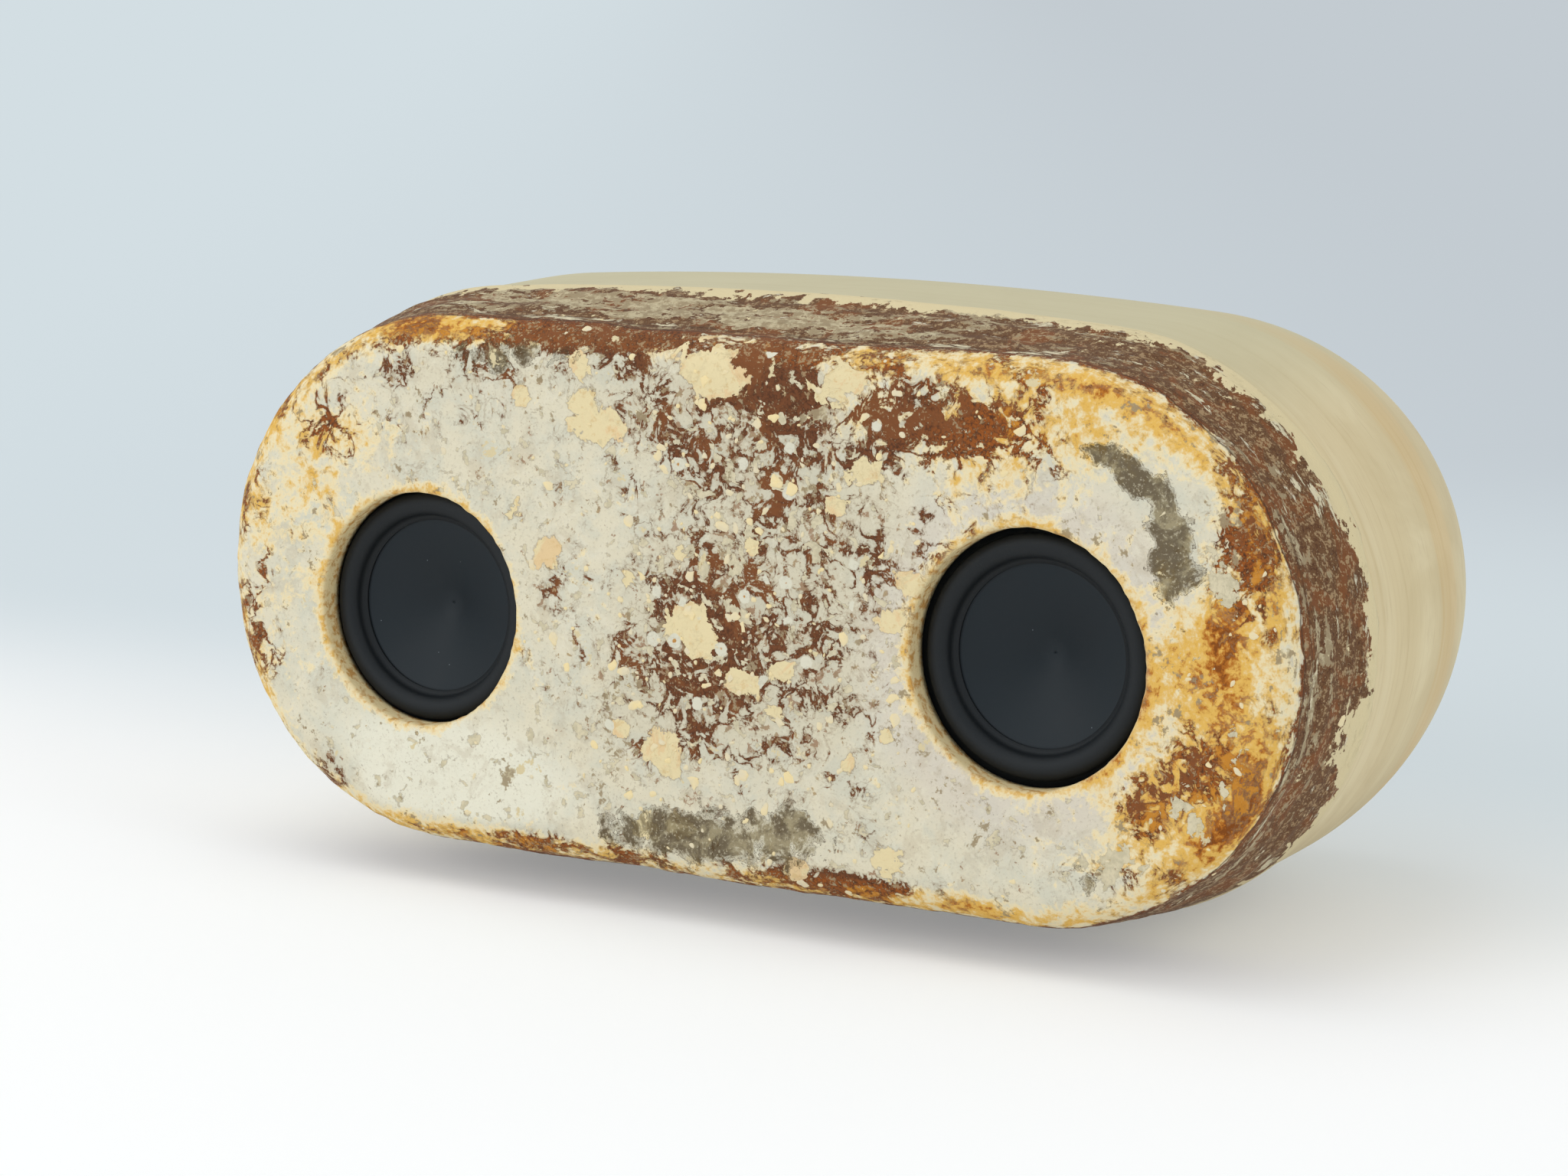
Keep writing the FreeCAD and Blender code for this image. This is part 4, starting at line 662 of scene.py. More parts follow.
# %% Material: grown mycelium, dried in the mould
# Sizes in millimetres, then detail, roughness and distortion. The real threads are finer than 0.1 mm, too
# fine to show, so the fine noise is drawn as coarse as 0.8 mm.
ROUND_NOISES = {
    "cloudy": (24.0, 5.0, 0.6, 0.5), "patch": (13.0, 6.0, 0.62, 0.4), "island": (6.4, 5.0, 0.60, 0.5),
    "torn": (9.0, 13.0, 0.70, 0.5), "crumb": (2.4, 7.0, 0.64, 0.2), "stain": (14.0, 12.0, 0.72, 0.7),
    "fine": (0.8, 3.0, 0.6, 0.0), "flake": (4.6, 5.0, 0.58, 0.3),
}
STREAK_NOISES = {
    "island": (4.4, 9.0, 0.68, 0.3), "flake": (5.5, 9.0, 0.68, 0.4), "stain": (7.0, 10.0, 0.72, 0.4),
}
ALL_ROUND, ALONG_SEAM = (1000, 1000, 1000), (330, 1100, 330)

mycelium, tree, shader, place = new_material("mycelium_grown_and_dried")
in_mm, drawn_out = (
    add(tree, "ShaderNodeMapping", {"Vector": place, "Scale": scale}) for scale in (ALL_ROUND, ALONG_SEAM))
noise, streak = (
    {
        name: add(tree, "ShaderNodeTexNoise", {
            "Vector": vector, "Scale": 1 / size, "Detail": detail, "Roughness": rough, "Distortion": bend})
        for name, (size, detail, rough, bend) in listed.items()
    }
    for vector, listed in ((in_mm, ROUND_NOISES), (drawn_out, STREAK_NOISES))
)
painted = {
    name: add(tree, "ShaderNodeAttribute", out="Fac", attribute_name=name)
    for name in marks if name not in TREE_MARKS
}
island, peel, stain = (
    add(tree, "ShaderNodeMix", {0: painted["rubbed"], 2: noise[name], 3: streak[name]}, data_type="FLOAT")
    for name in ("island", "flake", "stain")
)
print("mycelium reads", ", ".join(painted))

# %% The pale skin: warm and cool grey-ivory, lilac round the right opening, with a fine felted grain
greyed = total(tree, 0.0, (painted["brown"], 1.0), (painted["amber"], -0.6))
colour, _ = washes(
    tree, "#dcd5bd",
    (noise["patch"], 0.40, 0.62, "#d0cebc", 1.0),
    (painted["halo"], 0.1, 0.9, "#d3cbbe", 0.7),
    (noise["stain"], 0.52, 0.60, "#dfdac6", 0.5),
    (greyed, 0.04, 0.26, "#bdb7a1", 0.55),
    (painted["brown"], 0.02, -0.12, "#e6e4d2", 0.85),
    (noise["torn"], 0.51, 0.61, "#bbae95", 0.32),
    (noise["crumb"], 0.42, 0.32, "#e0dbc6", 0.45),
    (noise["fine"], 0.54, 0.74, "#a4987f", 0.45),
)
print("pale skin:", len(tree.nodes), "nodes so far")

# %% Amber resin: cream where it is thin, then amber, rust and nearly brown where it gathered beside the husk
contour = apart(tree, island, 0.5)
husk_height = total(
    tree, -0.295, (painted["brown"], 0.5), (noise["patch"], 0.35), (noise["crumb"], 0.12), (contour, -1.0))
beside_husk = add(tree, "ShaderNodeMapRange", {"Value": husk_height, "From Min": -0.12, "From Max": 0.02},
                  interpolation_type="SMOOTHSTEP")
gathered = add(tree, "ShaderNodeMath", {0: beside_husk, 1: painted["amber"]}, operation="MULTIPLY")
resin = total(
    tree, -1.32, (painted["amber"], 1.0), (stain, 1.2), (noise["island"], 0.4), (noise["crumb"], 0.9),
    (gathered, 0.3))
colour, _ = washes(
    tree, colour,
    (resin, 0.06, 0.22, "#ecdcb0", 0.8),
    (resin, 0.20, 0.46, "#deaf4a", 0.9),
    (resin, 0.48, 0.68, "#ac621c", 0.93),
    (resin, 0.65, 0.77, "#774018", 0.85),
)
print("amber:", len(tree.nodes), "nodes so far")

# %% Brown husk between the islands, with a grey-brown margin, and freckles of it all over the pale skin
speckled = total(tree, -0.26, (noise["crumb"], 0.7), (noise["fine"], 0.7), (painted["rubbed"], 0.06))
gilded = total(tree, -0.9, (painted["amber"], 0.8), (noise["torn"], 1.0), (noise["crumb"], 0.5))
freckles = total(
    tree, -0.7, (noise["crumb"], 1.0), (painted["brown"], 0.5), (noise["torn"], 0.4),
    (painted["amber"], -0.7))
brown_tone, _ = washes(
    tree, "#6f4328",
    (painted["amber"], 0.08, 0.36, "#9a551e", 0.85),
    (painted["rubbed"], 0.6, 1.0, "#6b5135", 0.7),
    (noise["fine"], 0.40, 0.64, "#50301d", 1.0),
    (noise["stain"], 0.50, 0.58, "#7d4c2a", 0.8),
    (speckled, 0.52, 0.58, "#a88e6a", 0.8),
    (gilded, 0.20, 0.30, "#c9892f", 0.85),
)
freckle_tone, _ = washes(tree, "#8a5a34", (noise["stain"], 0.46, 0.58, "#94784f", 1.0))
colour, brown = washes(
    tree, colour,
    (freckles, 0.150, 0.195, freckle_tone, 0.7),
    (husk_height, -0.045, 0.0, "#9c8567", 0.45),
    (husk_height, -0.010, 0.014, brown_tone, 1.0),
)
print("brown husk:", len(tree.nodes), "nodes so far")

# %% Pale flakes that stayed on the husk, with painted shade under their edges, and bare grey streaks on top of the band
peel = total(tree, peel, (painted["flakes"], 1.0), (painted["amber"], -0.12))
bared = total(tree, -1.05, (painted["bare"], 1.0), (streak["island"], 1.3), (noise["crumb"], 0.8))
flake_tone, _ = washes(tree, "#d6ccae", (noise["crumb"], 0.42, 0.60, "#c6bda0", 1.0))
bare_tone, _ = washes(tree, "#c4b897", (noise["crumb"], 0.44, 0.58, "#8f7d60", 0.8))
# The first wash is painted shade: a dark rim where each flake's edge would shade the skin under it
colour, flakes = washes(
    tree, colour, (peel, 0.605, 0.630, "#5b3a22", 0.35), (peel, 0.628, 0.642, flake_tone, 1.0))
colour, _ = washes(tree, colour, (bared, 0.16, 0.22, bare_tone, 0.92))
print("flakes:", len(tree.nodes), "nodes so far")

# %% Husk chips caught in the skin: cream plates with uneven outlines and a thin dark edge
chipped = total(tree, -0.85, (painted["chip"], 1.0), (noise["island"], 1.4), (noise["crumb"], 0.3))
chip_tone, _ = washes(
    tree, "#e2d3a8",
    (noise["stain"], 0.50, 0.58, "#e0c294", 0.8), (noise["crumb"], 0.54, 0.66, "#cfae76", 0.5))
colour, chip = washes(
    tree, colour, (chipped, 0.30, 0.36, "#6f4a2a", 0.35), (chipped, 0.360, 0.380, chip_tone, 1.0))
print("chips:", len(tree.nodes), "nodes so far")

# %% White pustules with tan middles, in the cells that a lot drawn for each cell picks out
PUSTULE_SPACING = 6.5
PUSTULE_EDGE = 0.05
PUSTULE_DISCS = ((0.32, "#d9d6c3"), (0.09, "#bb8a4a"))

from_middle = add(tree, "ShaderNodeTexVoronoi", {"Vector": in_mm, "Scale": 1 / PUSTULE_SPACING}, "Distance")
lot = add(tree, "ShaderNodeSeparateColor", {0: from_middle.node.outputs["Color"]})
drawn = add(tree, "ShaderNodeMath", {0: lot, 1: painted["spots"]}, operation="LESS_THAN")
wobbly = total(tree, -0.15, (from_middle, 1.0), (noise["crumb"], 0.3))
colour, _ = washes(
    tree, colour, *((wobbly, reach, reach - PUSTULE_EDGE, tone, drawn) for reach, tone in PUSTULE_DISCS))
print("pustules:", len(tree.nodes), "nodes so far")

# %% Painted shade: two thin dark lines where the cap's soft edge ends, standing in for the shadow in its creases, at a depth that wanders a little
CREASE_SHADOWS = ((7.6, 0.75), (11.0, 0.5))
CREASE_MIDDLE = 3.5

lean_axis = (0, math.cos(FRONT_LEAN) / MM, -math.sin(FRONT_LEAN) / MM)
lean_start = LEAN_DEPTH - (FRONT_Y + LEAN_DEPTH) * math.cos(FRONT_LEAN) + CENTRE_Z * math.sin(FRONT_LEAN)
leaned_depth = add(tree, "ShaderNodeVectorMath", {0: place, 1: lean_axis}, "Value", operation="DOT_PRODUCT")
for crease_depth, most in CREASE_SHADOWS:
    crease = total(
        tree, lean_start - crease_depth, (leaned_depth, 1.0), (noise["cloudy"], 5.0), (noise["torn"], 2.0))
    # Each line is painted shade, darkest at the middle of the crease
    colour, _ = washes(tree, colour, (apart(tree, crease, CREASE_MIDDLE), 0.5, 0.1, "#4a3322", most))
print("creases:", len(tree.nodes), "nodes so far")

# %% Grey film, a later growth over everything, dark along its edge, and only where film is painted
filmed = total(
    tree, -2.32, (painted["film"], 2.0), (noise["island"], 1.5), (noise["torn"], 2.0), (noise["crumb"], 0.2))
film_reach = total(tree, -0.3, (painted["film"], 4.0))
filmed = add(tree, "ShaderNodeMath", {0: filmed, 1: film_reach}, operation="MINIMUM")
film_tone, _ = washes(
    tree, "#948868",
    (noise["torn"], 0.42, 0.56, "#56472f", 1.0), (noise["fine"], 0.56, 0.66, "#c3bba2", 0.6))
colour, film = washes(
    tree, colour,
    (apart(tree, filmed, 0.03), 0.040, 0.010, "#4a3a26", 0.75), (filmed, 0.02, 0.26, film_tone, 0.9))
print("film:", len(tree.nodes), "nodes so far")

# %% The frayed seam, the cut walls and the shader
# At the seam the skin frays out thin, so the wood's own cream shows through in ragged bites
frayed = total(
    tree, -1.6, (painted["seam"], 0.6), (noise["patch"], 1.2), (noise["island"], 1.2), (noise["crumb"], 0.8))
colour, _ = washes(tree, colour, (frayed, 0.33, 0.37, "#d6c8a0", 1.0))
# The cut walls of the openings show the pale inside, a little amber
cut_tone, _ = washes(tree, "#e6d4a4", (noise["crumb"], 0.46, 0.64, "#c08b42", 0.9))
colour = add(tree, "ShaderNodeMix", {MIX_FACTOR: painted["cut"], MIX_A: colour, MIX_B: cut_tone}, MIX_RESULT,
             data_type="RGBA")
relief = total(
    tree, 0.0, (noise["fine"], 0.6), (noise["crumb"], 0.9), (brown, -0.5), (flakes, 0.5), (chip, 0.6),
    (film, 0.4))
join(tree, shader, {
    "Base Color": colour,
    "Roughness": add(tree, "ShaderNodeMapRange", {"Value": brown, "To Min": 0.84, "To Max": 0.62}),
    "Specular IOR Level": 0.14,
    "Normal": add(tree, "ShaderNodeBump", {"Height": relief, "Strength": 0.55, "Distance": 0.5 * MM}),
})
print("mycelium material:", len(tree.nodes), "nodes")

# %% [markdown]
# The skin isn't smooth: it has slow lumps from the filling, a finer grain from the threads, and ridges along
# the rubbed band. A geometry tree raises them from the mesh along its normals, only on the outside, so that
# the cut walls and the inside stay as they are. The result is turned into a plain mesh, which is what the
# export takes.

# %% Helpers for geometry trees


def new_tree(name, sockets):
    """A geometry tree with named inputs: the tree, its input and output nodes, and identifiers."""
    made = bpy.data.node_groups.new(name, "GeometryNodeTree")
    made.interface.new_socket(name="Geometry", in_out="OUTPUT", socket_type="NodeSocketGeometry")
    made.interface.new_socket(name="Geometry", in_out="INPUT", socket_type="NodeSocketGeometry")
    keys = {}
    for label, kind in sockets.items():
        socket = made.interface.new_socket(name=label, in_out="INPUT", socket_type="NodeSocket" + kind)
        keys[label] = socket.identifier
    return made, made.nodes.new("NodeGroupInput"), made.nodes.new("NodeGroupOutput"), keys


def grow(thing, made, keys, values):
    """Runs a geometry tree on an object and keeps the result as a plain mesh."""
    modifier = thing.modifiers.new(made.name, "NODES")
    modifier.node_group = made
    for label, value in values.items():
        modifier[keys[label]] = value
    depsgraph = bpy.context.evaluated_depsgraph_get()
    mesh = bpy.data.meshes.new_from_object(
        thing.evaluated_get(depsgraph), preserve_all_data_layers=True, depsgraph=depsgraph)
    thing.modifiers.remove(modifier)
    thing.data = mesh
    mesh.name = thing.name


print("geometry trees so far:", len(bpy.data.node_groups))

# %% Geometry tree: lumps, grain and ridges of the skin
RIDGE_DRAW = (0.08, 1.0, 0.08)

tree, given, result, keys = new_tree("skin_relief", {
    "Lump height": "Float", "Lump size": "Float", "Grain height": "Float", "Grain size": "Float",
    "Ridge height": "Float", "Ridge size": "Float", "Material": "Material",
})
position = add(tree, "GeometryNodeInputPosition")
normal = add(tree, "GeometryNodeInputNormal")
share, on_band = (
    add(tree, "GeometryNodeInputNamedAttribute", {"Name": name}, "Attribute", data_type="FLOAT")
    for name in TREE_MARKS
)
along_band = add(tree, "ShaderNodeVectorMath", {0: position, 1: RIDGE_DRAW}, operation="MULTIPLY")
rise = 0.0
for kind, where in (("Ridge", along_band), ("Lump", position), ("Grain", position)):
    density = add(tree, "ShaderNodeMath", {0: 1.0, 1: given.outputs[kind + " size"]}, operation="DIVIDE")
    wave = add(tree, "ShaderNodeTexNoise", {"Vector": where, "Scale": density, "Detail": 3.0})
    centred = add(tree, "ShaderNodeMath", {0: wave, 1: 0.5}, operation="SUBTRACT")
    if kind == "Ridge":
        centred = add(tree, "ShaderNodeMath", {0: centred, 1: on_band}, operation="MULTIPLY")
    rise = total(tree, rise, (centred, given.outputs[kind + " height"]))
rise = add(tree, "ShaderNodeMath", {0: rise, 1: share}, operation="MULTIPLY")
offset = add(tree, "ShaderNodeVectorMath", {0: normal, "Scale": rise}, operation="SCALE")
moved = add(tree, "GeometryNodeSetPosition", {"Geometry": given.outputs["Geometry"], "Offset": offset})
real = add(tree, "GeometryNodeRealizeInstances", {"Geometry": moved})
dressed = add(tree, "GeometryNodeSetMaterial", {"Geometry": real, "Material": given.outputs["Material"]})
join(tree, result, {0: dressed})
grow(skin, tree, keys, {
    "Lump height": 2.2 * MM, "Lump size": 21 * MM, "Grain height": 0.7 * MM, "Grain size": 4.5 * MM,
    "Ridge height": 2.0 * MM, "Ridge size": 5.0 * MM, "Material": mycelium,
})
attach(skin, "enclosure")
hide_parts("mycelium_front_shell")
print("skin box", *([round(v / MM, 1) for v in skin.bound_box[corner]] for corner in (0, 6)))

# %% [markdown]
# Besides the large flat chips, which the material draws, small grains of husk stand up from the skin. They
# are strewn with a fixed seed, most of them in the middle and near the top. A geometry tree puts a small lens
# on each place, shakes its outline so that no two are alike, and then drops every point on to the skin, so
# each grain follows the lumps under it.

# %% Material: husk chips, dried, which look like cream crumbs with a dull fibrous face
husk, tree, shader, place = new_material("husk_chip_dried")
blotch, fibre = (
    add(tree, "ShaderNodeTexNoise", {"Vector": place, "Scale": 1 / (size * MM), "Detail": detail})
    for size, detail in ((7, 5.0), (0.8, 3.0))
)
tone = add(tree, "ShaderNodeMapRange", {"Value": blotch, "From Min": 0.38, "From Max": 0.62})
join(tree, shader, {
    "Base Color": add(tree, "ShaderNodeMix", {
        MIX_FACTOR: tone, MIX_A: linear("#ead7a4"), MIX_B: linear("#ddd2b4")}, MIX_RESULT, data_type="RGBA"),
    "Roughness": 0.78,
    "Specular IOR Level": 0.3,
    "Normal": add(tree, "ShaderNodeBump", {"Height": fibre, "Strength": 0.35, "Distance": 0.2 * MM}),
})
print("husk material:", len(tree.nodes), "nodes")

# %% Where the chips lie
STREWN_CHIPS = 330
CHIP_SEED = 5
CHIP_REACH = (0.5, 1.7)
CHIP_STRETCH = (0.62, 1.0)
LIKED_PLACES = [(0, 0, 44, 60, 0.8), (20, 40, 60, 26, 0.35), (140, -10, 24, 50, 0.15)]
LIKED_ANYWHERE, LIKED_ON_BAND = 0.05, 0.22

points, normals = read(skin, "co"), read(skin, "normal")
x, depth, z, around, to_opening = on_front(points)
free = ((depth < 2.0) & (to_opening > 3.5)) | ((around > 68.0) & (depth < 36.0))
liking = LIKED_ANYWHERE + clouds(x, z, LIKED_PLACES)
liking = liking * free * np.where(depth > 6, LIKED_ON_BAND, 1.0)
draw = np.random.default_rng(CHIP_SEED)
chosen = draw.choice(len(points), STREWN_CHIPS, replace=False, p=liking / liking.sum())
reaches = CHIP_REACH[0] + (CHIP_REACH[1] - CHIP_REACH[0]) * draw.power(0.6, STREWN_CHIPS) ** 1.5
chip_mesh = bpy.data.meshes.new("husk_chips")
chip_mesh.from_pydata(points[chosen].tolist(), [], [])
chips = bpy.data.objects.new("husk_chips", chip_mesh)
scene.collection.objects.link(chips)
paint(chips, "reach", reaches * MM)
paint(chips, "turn", draw.uniform(0, 2 * math.pi, STREWN_CHIPS))
paint(chips, "stretch", draw.uniform(*CHIP_STRETCH, STREWN_CHIPS))
facing = chip_mesh.attributes.new("facing", "FLOAT_VECTOR", "POINT")
facing.data.foreach_set("vector", normals[chosen].astype(np.float32).ravel())
print(STREWN_CHIPS, "chips,", round(reaches.min(), 2), "to", round(reaches.max(), 2), "mm in reach")

# %% Geometry tree: a lens for each chip
FLATTENED = 0.02

tree, given, result, keys = new_tree("chips_on_skin", {
    "Skin": "Object", "Thickness": "Float", "Raggedness": "Float", "Ragged size": "Float",
    "Material": "Material",
})
position = add(tree, "GeometryNodeInputPosition")
normal = add(tree, "GeometryNodeInputNormal")
lens = add(tree, "GeometryNodeMeshIcoSphere", {"Radius": 1.0, "Subdivisions": 2}, "Mesh")
lens_height = add(tree, "ShaderNodeSeparateXYZ", {0: position}, "Z")
lens = add(tree, "GeometryNodeStoreNamedAttribute", {"Geometry": lens, "Name": "dome", "Value": lens_height},
           data_type="FLOAT", domain="POINT")
told = {
    name: add(tree, "GeometryNodeInputNamedAttribute", {"Name": name}, "Attribute", data_type=kind)
    for name, kind in (("reach", "FLOAT"), ("turn", "FLOAT"), ("stretch", "FLOAT"), ("dome", "FLOAT"),
                       ("facing", "FLOAT_VECTOR"))
}
narrow, flat, amount, thick = (
    add(tree, "ShaderNodeMath", {0: told[name], 1: times}, operation="MULTIPLY")
    for name, times in (
        ("reach", told["stretch"]), ("reach", FLATTENED), ("reach", given.outputs["Raggedness"]),
        ("dome", given.outputs["Thickness"]))
)
spin = add(tree, "ShaderNodeCombineXYZ", {"Z": told["turn"]})
spin = add(tree, "FunctionNodeEulerToRotation", {0: spin})
tilt = add(tree, "FunctionNodeAlignRotationToVector", {"Rotation": spin, "Vector": told["facing"]}, axis="Z")
size = add(tree, "ShaderNodeCombineXYZ", {"X": told["reach"], "Y": narrow, "Z": flat})
strewn = add(tree, "GeometryNodeInstanceOnPoints", {
    "Points": given.outputs["Geometry"], "Instance": lens, "Rotation": tilt, "Scale": size})
real = add(tree, "GeometryNodeRealizeInstances", {"Geometry": strewn})
print("lens tree:", len(tree.nodes), "nodes so far")

# %% The same tree: lenses shaken and dropped on to the skin
density = add(tree, "ShaderNodeMath", {0: 1.0, 1: given.outputs["Ragged size"]}, operation="DIVIDE")
wave = add(tree, "ShaderNodeTexNoise", {"Vector": position, "Scale": density, "Detail": 1.0}, "Color")
centred = add(tree, "ShaderNodeVectorMath", {0: wave, 1: (0.5, 0.5, 0.5)}, operation="SUBTRACT")
shake = add(tree, "ShaderNodeVectorMath", {0: centred, "Scale": amount}, operation="SCALE")
shaken = add(tree, "GeometryNodeSetPosition", {"Geometry": real, "Offset": shake})
ground = add(tree, "GeometryNodeObjectInfo", {"Object": given.outputs["Skin"]}, "Geometry",
             transform_space="RELATIVE")
landed = add(tree, "GeometryNodeProximity", {"Geometry": ground}, "Position", target_element="FACES")
upward = add(tree, "GeometryNodeSampleNearestSurface", {"Mesh": ground, "Value": normal}, "Value",
             data_type="FLOAT_VECTOR")
rise = add(tree, "ShaderNodeVectorMath", {0: upward, "Scale": thick}, operation="SCALE")
settled = add(tree, "ShaderNodeVectorMath", {0: landed, 1: rise}, operation="ADD")
dropped = add(tree, "GeometryNodeSetPosition", {"Geometry": shaken, "Position": settled})
dressed = add(tree, "GeometryNodeSetMaterial", {"Geometry": dropped, "Material": given.outputs["Material"]})
join(tree, result, {0: dressed})
grow(chips, tree, keys, {
    "Skin": skin, "Thickness": 0.28 * MM, "Raggedness": 2.6, "Ragged size": 2.4 * MM, "Material": husk,
})
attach(chips, "enclosure")
print("chips:", len(chips.data.polygons), "faces")

# %% [markdown]
# The wooden back was glued up from boards laid one behind the other, so the glue lines and the grain run
# parallel to the seam all round. It is level from the seam and then rounds over to a flat back, with two
# round recesses for the button and the socket. Its mesh uses the same bands and sheets as the front.

# %% The wooden back's body
WOOD_SIDES, WOOD_ENDS = 64, 72
BACK_DEPTH = 158.031
BACK_ROUND_START = 78.031
BACK_FLAT_INSET = 45.0
REAR_CAVITY_RADIUS = 60.0
BACK_CAVITY_INSET = 36.0
BACK_WALL = 10.0
CAVITY_END = BACK_DEPTH - BACK_WALL
RECESS_RADIUS, RECESS_DEPTH, CONTROL_HOLE = 10.3, 3.0, 8.1
CONTROL_X = (-20.0, 20.0)
LEVEL_ROWS, OUTER_ROWS, INNER_ROWS = 8, 40, 14
FLAT_STEP = 5.0
FLAT_SEED, INNER_SEED = 41, 42


def wood_pill(radius, depth, crowned=True):
    return pill(radius, depth, WOOD_SIDES, WOOD_ENDS, crowned)


def rounded_over(radius, inset, end, rows, crowned):
    """Rows of outlines over a quarter ellipse, from the level side to the flat."""
    return [
        level(wood_pill(radius - inset * (1 - math.cos(turn)),
                        BACK_ROUND_START + (end - BACK_ROUND_START) * math.sin(turn), crowned))
        for turn in np.linspace(0, math.pi / 2, rows)
    ]


shell = Shell()
level_depths = np.linspace(FRONT_SHELL_DEPTH, BACK_ROUND_START, LEVEL_ROWS)
outer = [level(wood_pill(END_RADIUS, depth)) for depth in level_depths]
outer += rounded_over(END_RADIUS, BACK_FLAT_INSET, BACK_DEPTH, OUTER_ROWS, True)[1:]
inner = [level(wood_pill(REAR_CAVITY_RADIUS, FRONT_SHELL_DEPTH, False))]
inner += rounded_over(REAR_CAVITY_RADIUS, BACK_CAVITY_INSET, CAVITY_END, INNER_ROWS, False)
shell.band(outer[::-1] + inner)
recesses, holes = [], []
for control_x in CONTROL_X:
    rows = [circle(control_x, 0.0, radius, depth, OPENING_POINTS) for radius, depth in (
        (RECESS_RADIUS, BACK_DEPTH), (RECESS_RADIUS, BACK_DEPTH - RECESS_DEPTH),
        (CONTROL_HOLE, BACK_DEPTH - RECESS_DEPTH), (CONTROL_HOLE, CAVITY_END))]
    shell.band([level(row) for row in rows])
    recesses.append(rows[0])
    holes.append(rows[-1])
for edge, cuts, depth, seed in (
        (wood_pill(END_RADIUS - BACK_FLAT_INSET, 0.0), recesses, BACK_DEPTH, FLAT_SEED),
        (wood_pill(REAR_CAVITY_RADIUS - BACK_CAVITY_INSET, 0.0, False), holes, CAVITY_END, INNER_SEED)):
    points, faces = sheet(edge, cuts, FLAT_STEP, seed, depth)
    shell.put(level(points), faces)
wood_back = shell.build("wooden_back")
print("wooden back:", len(wood_back.data.polygons), "faces")

# %% [markdown]
# Pale close-grained wood, sanded and oiled: the eye sees a cream ground, thin lines along the boards, short
# pores, and here and there a warm streak. The grain is noise squeezed across the depth: boards about 14 mm
# thick, lines about 2 mm apart and pores about 0.5 mm wide. Its top is painted darker and greyer, which is
# painted shade, as the top gets less light than the sides.

# %% Material: laminated pale wood, sanded and oiled
# Squeeze along x, depth and height in waves to the metre, then detail, roughness and distortion
WOOD_NOISES = {
    "boards": ((4, 70, 4), 3.0, 0.5, 0.0), "lines": ((10, 520, 10), 4.0, 0.6, 0.0),
    "pores": ((90, 2200, 90), 2.0, 0.5, 0.0), "figure": ((22, 22, 22), 4.0, 0.6, 0.6),
}
DRIFT_SIZE, DRIFT_REACH = 70 * MM, 9 * MM
WARM_STREAK_Y = 30 * MM

wood, tree, shader, place = new_material("maple_laminated_and_oiled")
drift = add(tree, "ShaderNodeTexNoise", {"Vector": place, "Scale": 1 / DRIFT_SIZE, "Detail": 2.0}, "Color")
drift = add(tree, "ShaderNodeVectorMath", {0: drift, "Scale": DRIFT_REACH}, operation="SCALE")
bent = add(tree, "ShaderNodeVectorMath", {0: place, 1: drift}, operation="ADD")
grain = {}
for name, (squeeze, detail, rough, bend) in WOOD_NOISES.items():
    squeezed = add(tree, "ShaderNodeMapping", {"Vector": bent, "Scale": squeeze})
    grain[name] = add(tree, "ShaderNodeTexNoise", {
        "Vector": squeezed, "Scale": 1.0, "Detail": detail, "Roughness": rough, "Distortion": bend})
# These three are in metres, as all places on the object are
across, deep, high = add(tree, "ShaderNodeSeparateXYZ", {0: bent}).node.outputs
right_bend = add(tree, "ShaderNodeMapRange", {
    "Value": across, "From Min": 0.08, "From Max": 0.14, "To Max": 0.24}, interpolation_type="SMOOTHSTEP")
streak_near = total(tree, 0.0, (grain["lines"], 0.018), (deep, 1.0))
colour, _ = washes(
    tree, "#dccea8",
    (grain["boards"], 0.34, 0.66, "#d3c299", 1.0),
    (grain["figure"], 0.46, 0.66, "#c9b78d", 0.6),
    (grain["lines"], 0.52, 0.74, "#bfa97c", 0.30),
    (grain["pores"], 0.60, 0.74, "#a98d60", 0.30),
    # Painted shade: the top of the back is washed darker and greyer, where less light falls on it
    (high, 0.135, 0.165, "#bdb795", 0.75),
    (apart(tree, streak_near, WARM_STREAK_Y), 0.012, 0.002, "#d9ae68", right_bend),
)
join(tree, shader, {
    "Base Color": colour,
    "Roughness": add(tree, "ShaderNodeMapRange", {"Value": grain["lines"], "To Min": 0.50, "To Max": 0.64}),
    "Specular IOR Level": 0.35,
    "Normal": add(tree, "ShaderNodeBump", {"Height": grain["lines"], "Strength": 0.10, "Distance": 0.2 * MM}),
})
wood_back.data.materials.append(wood)
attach(wood_back, "enclosure")
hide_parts("wooden_rear_shell")
print("wood material:", len(tree.nodes), "nodes")

# %% [markdown]
# Each driver shows a coated cone in a rubber half-roll. Both are turned shapes, so one function spins a
# profile round the driver's axis. The cone moves as a whole. The roll is held by the frame at its outer edge
# and by the cone at its inner edge.

# %% Profile of the cone, as radius and depth behind the driver's flange
CONE_RADIUS = 25.0
CONE_RIM_DEPTH = 1.4
CONE_RIM_WIDTH = 1.6
CONE_DEPTH = 8.0
CONE_TIP_ROUND = 14.0
CONE_THICKNESS = 0.7
TIP_STEPS, FLANK_STEPS = np.linspace(1, 0.02, 8), np.linspace(0.04, 0.96, 12)

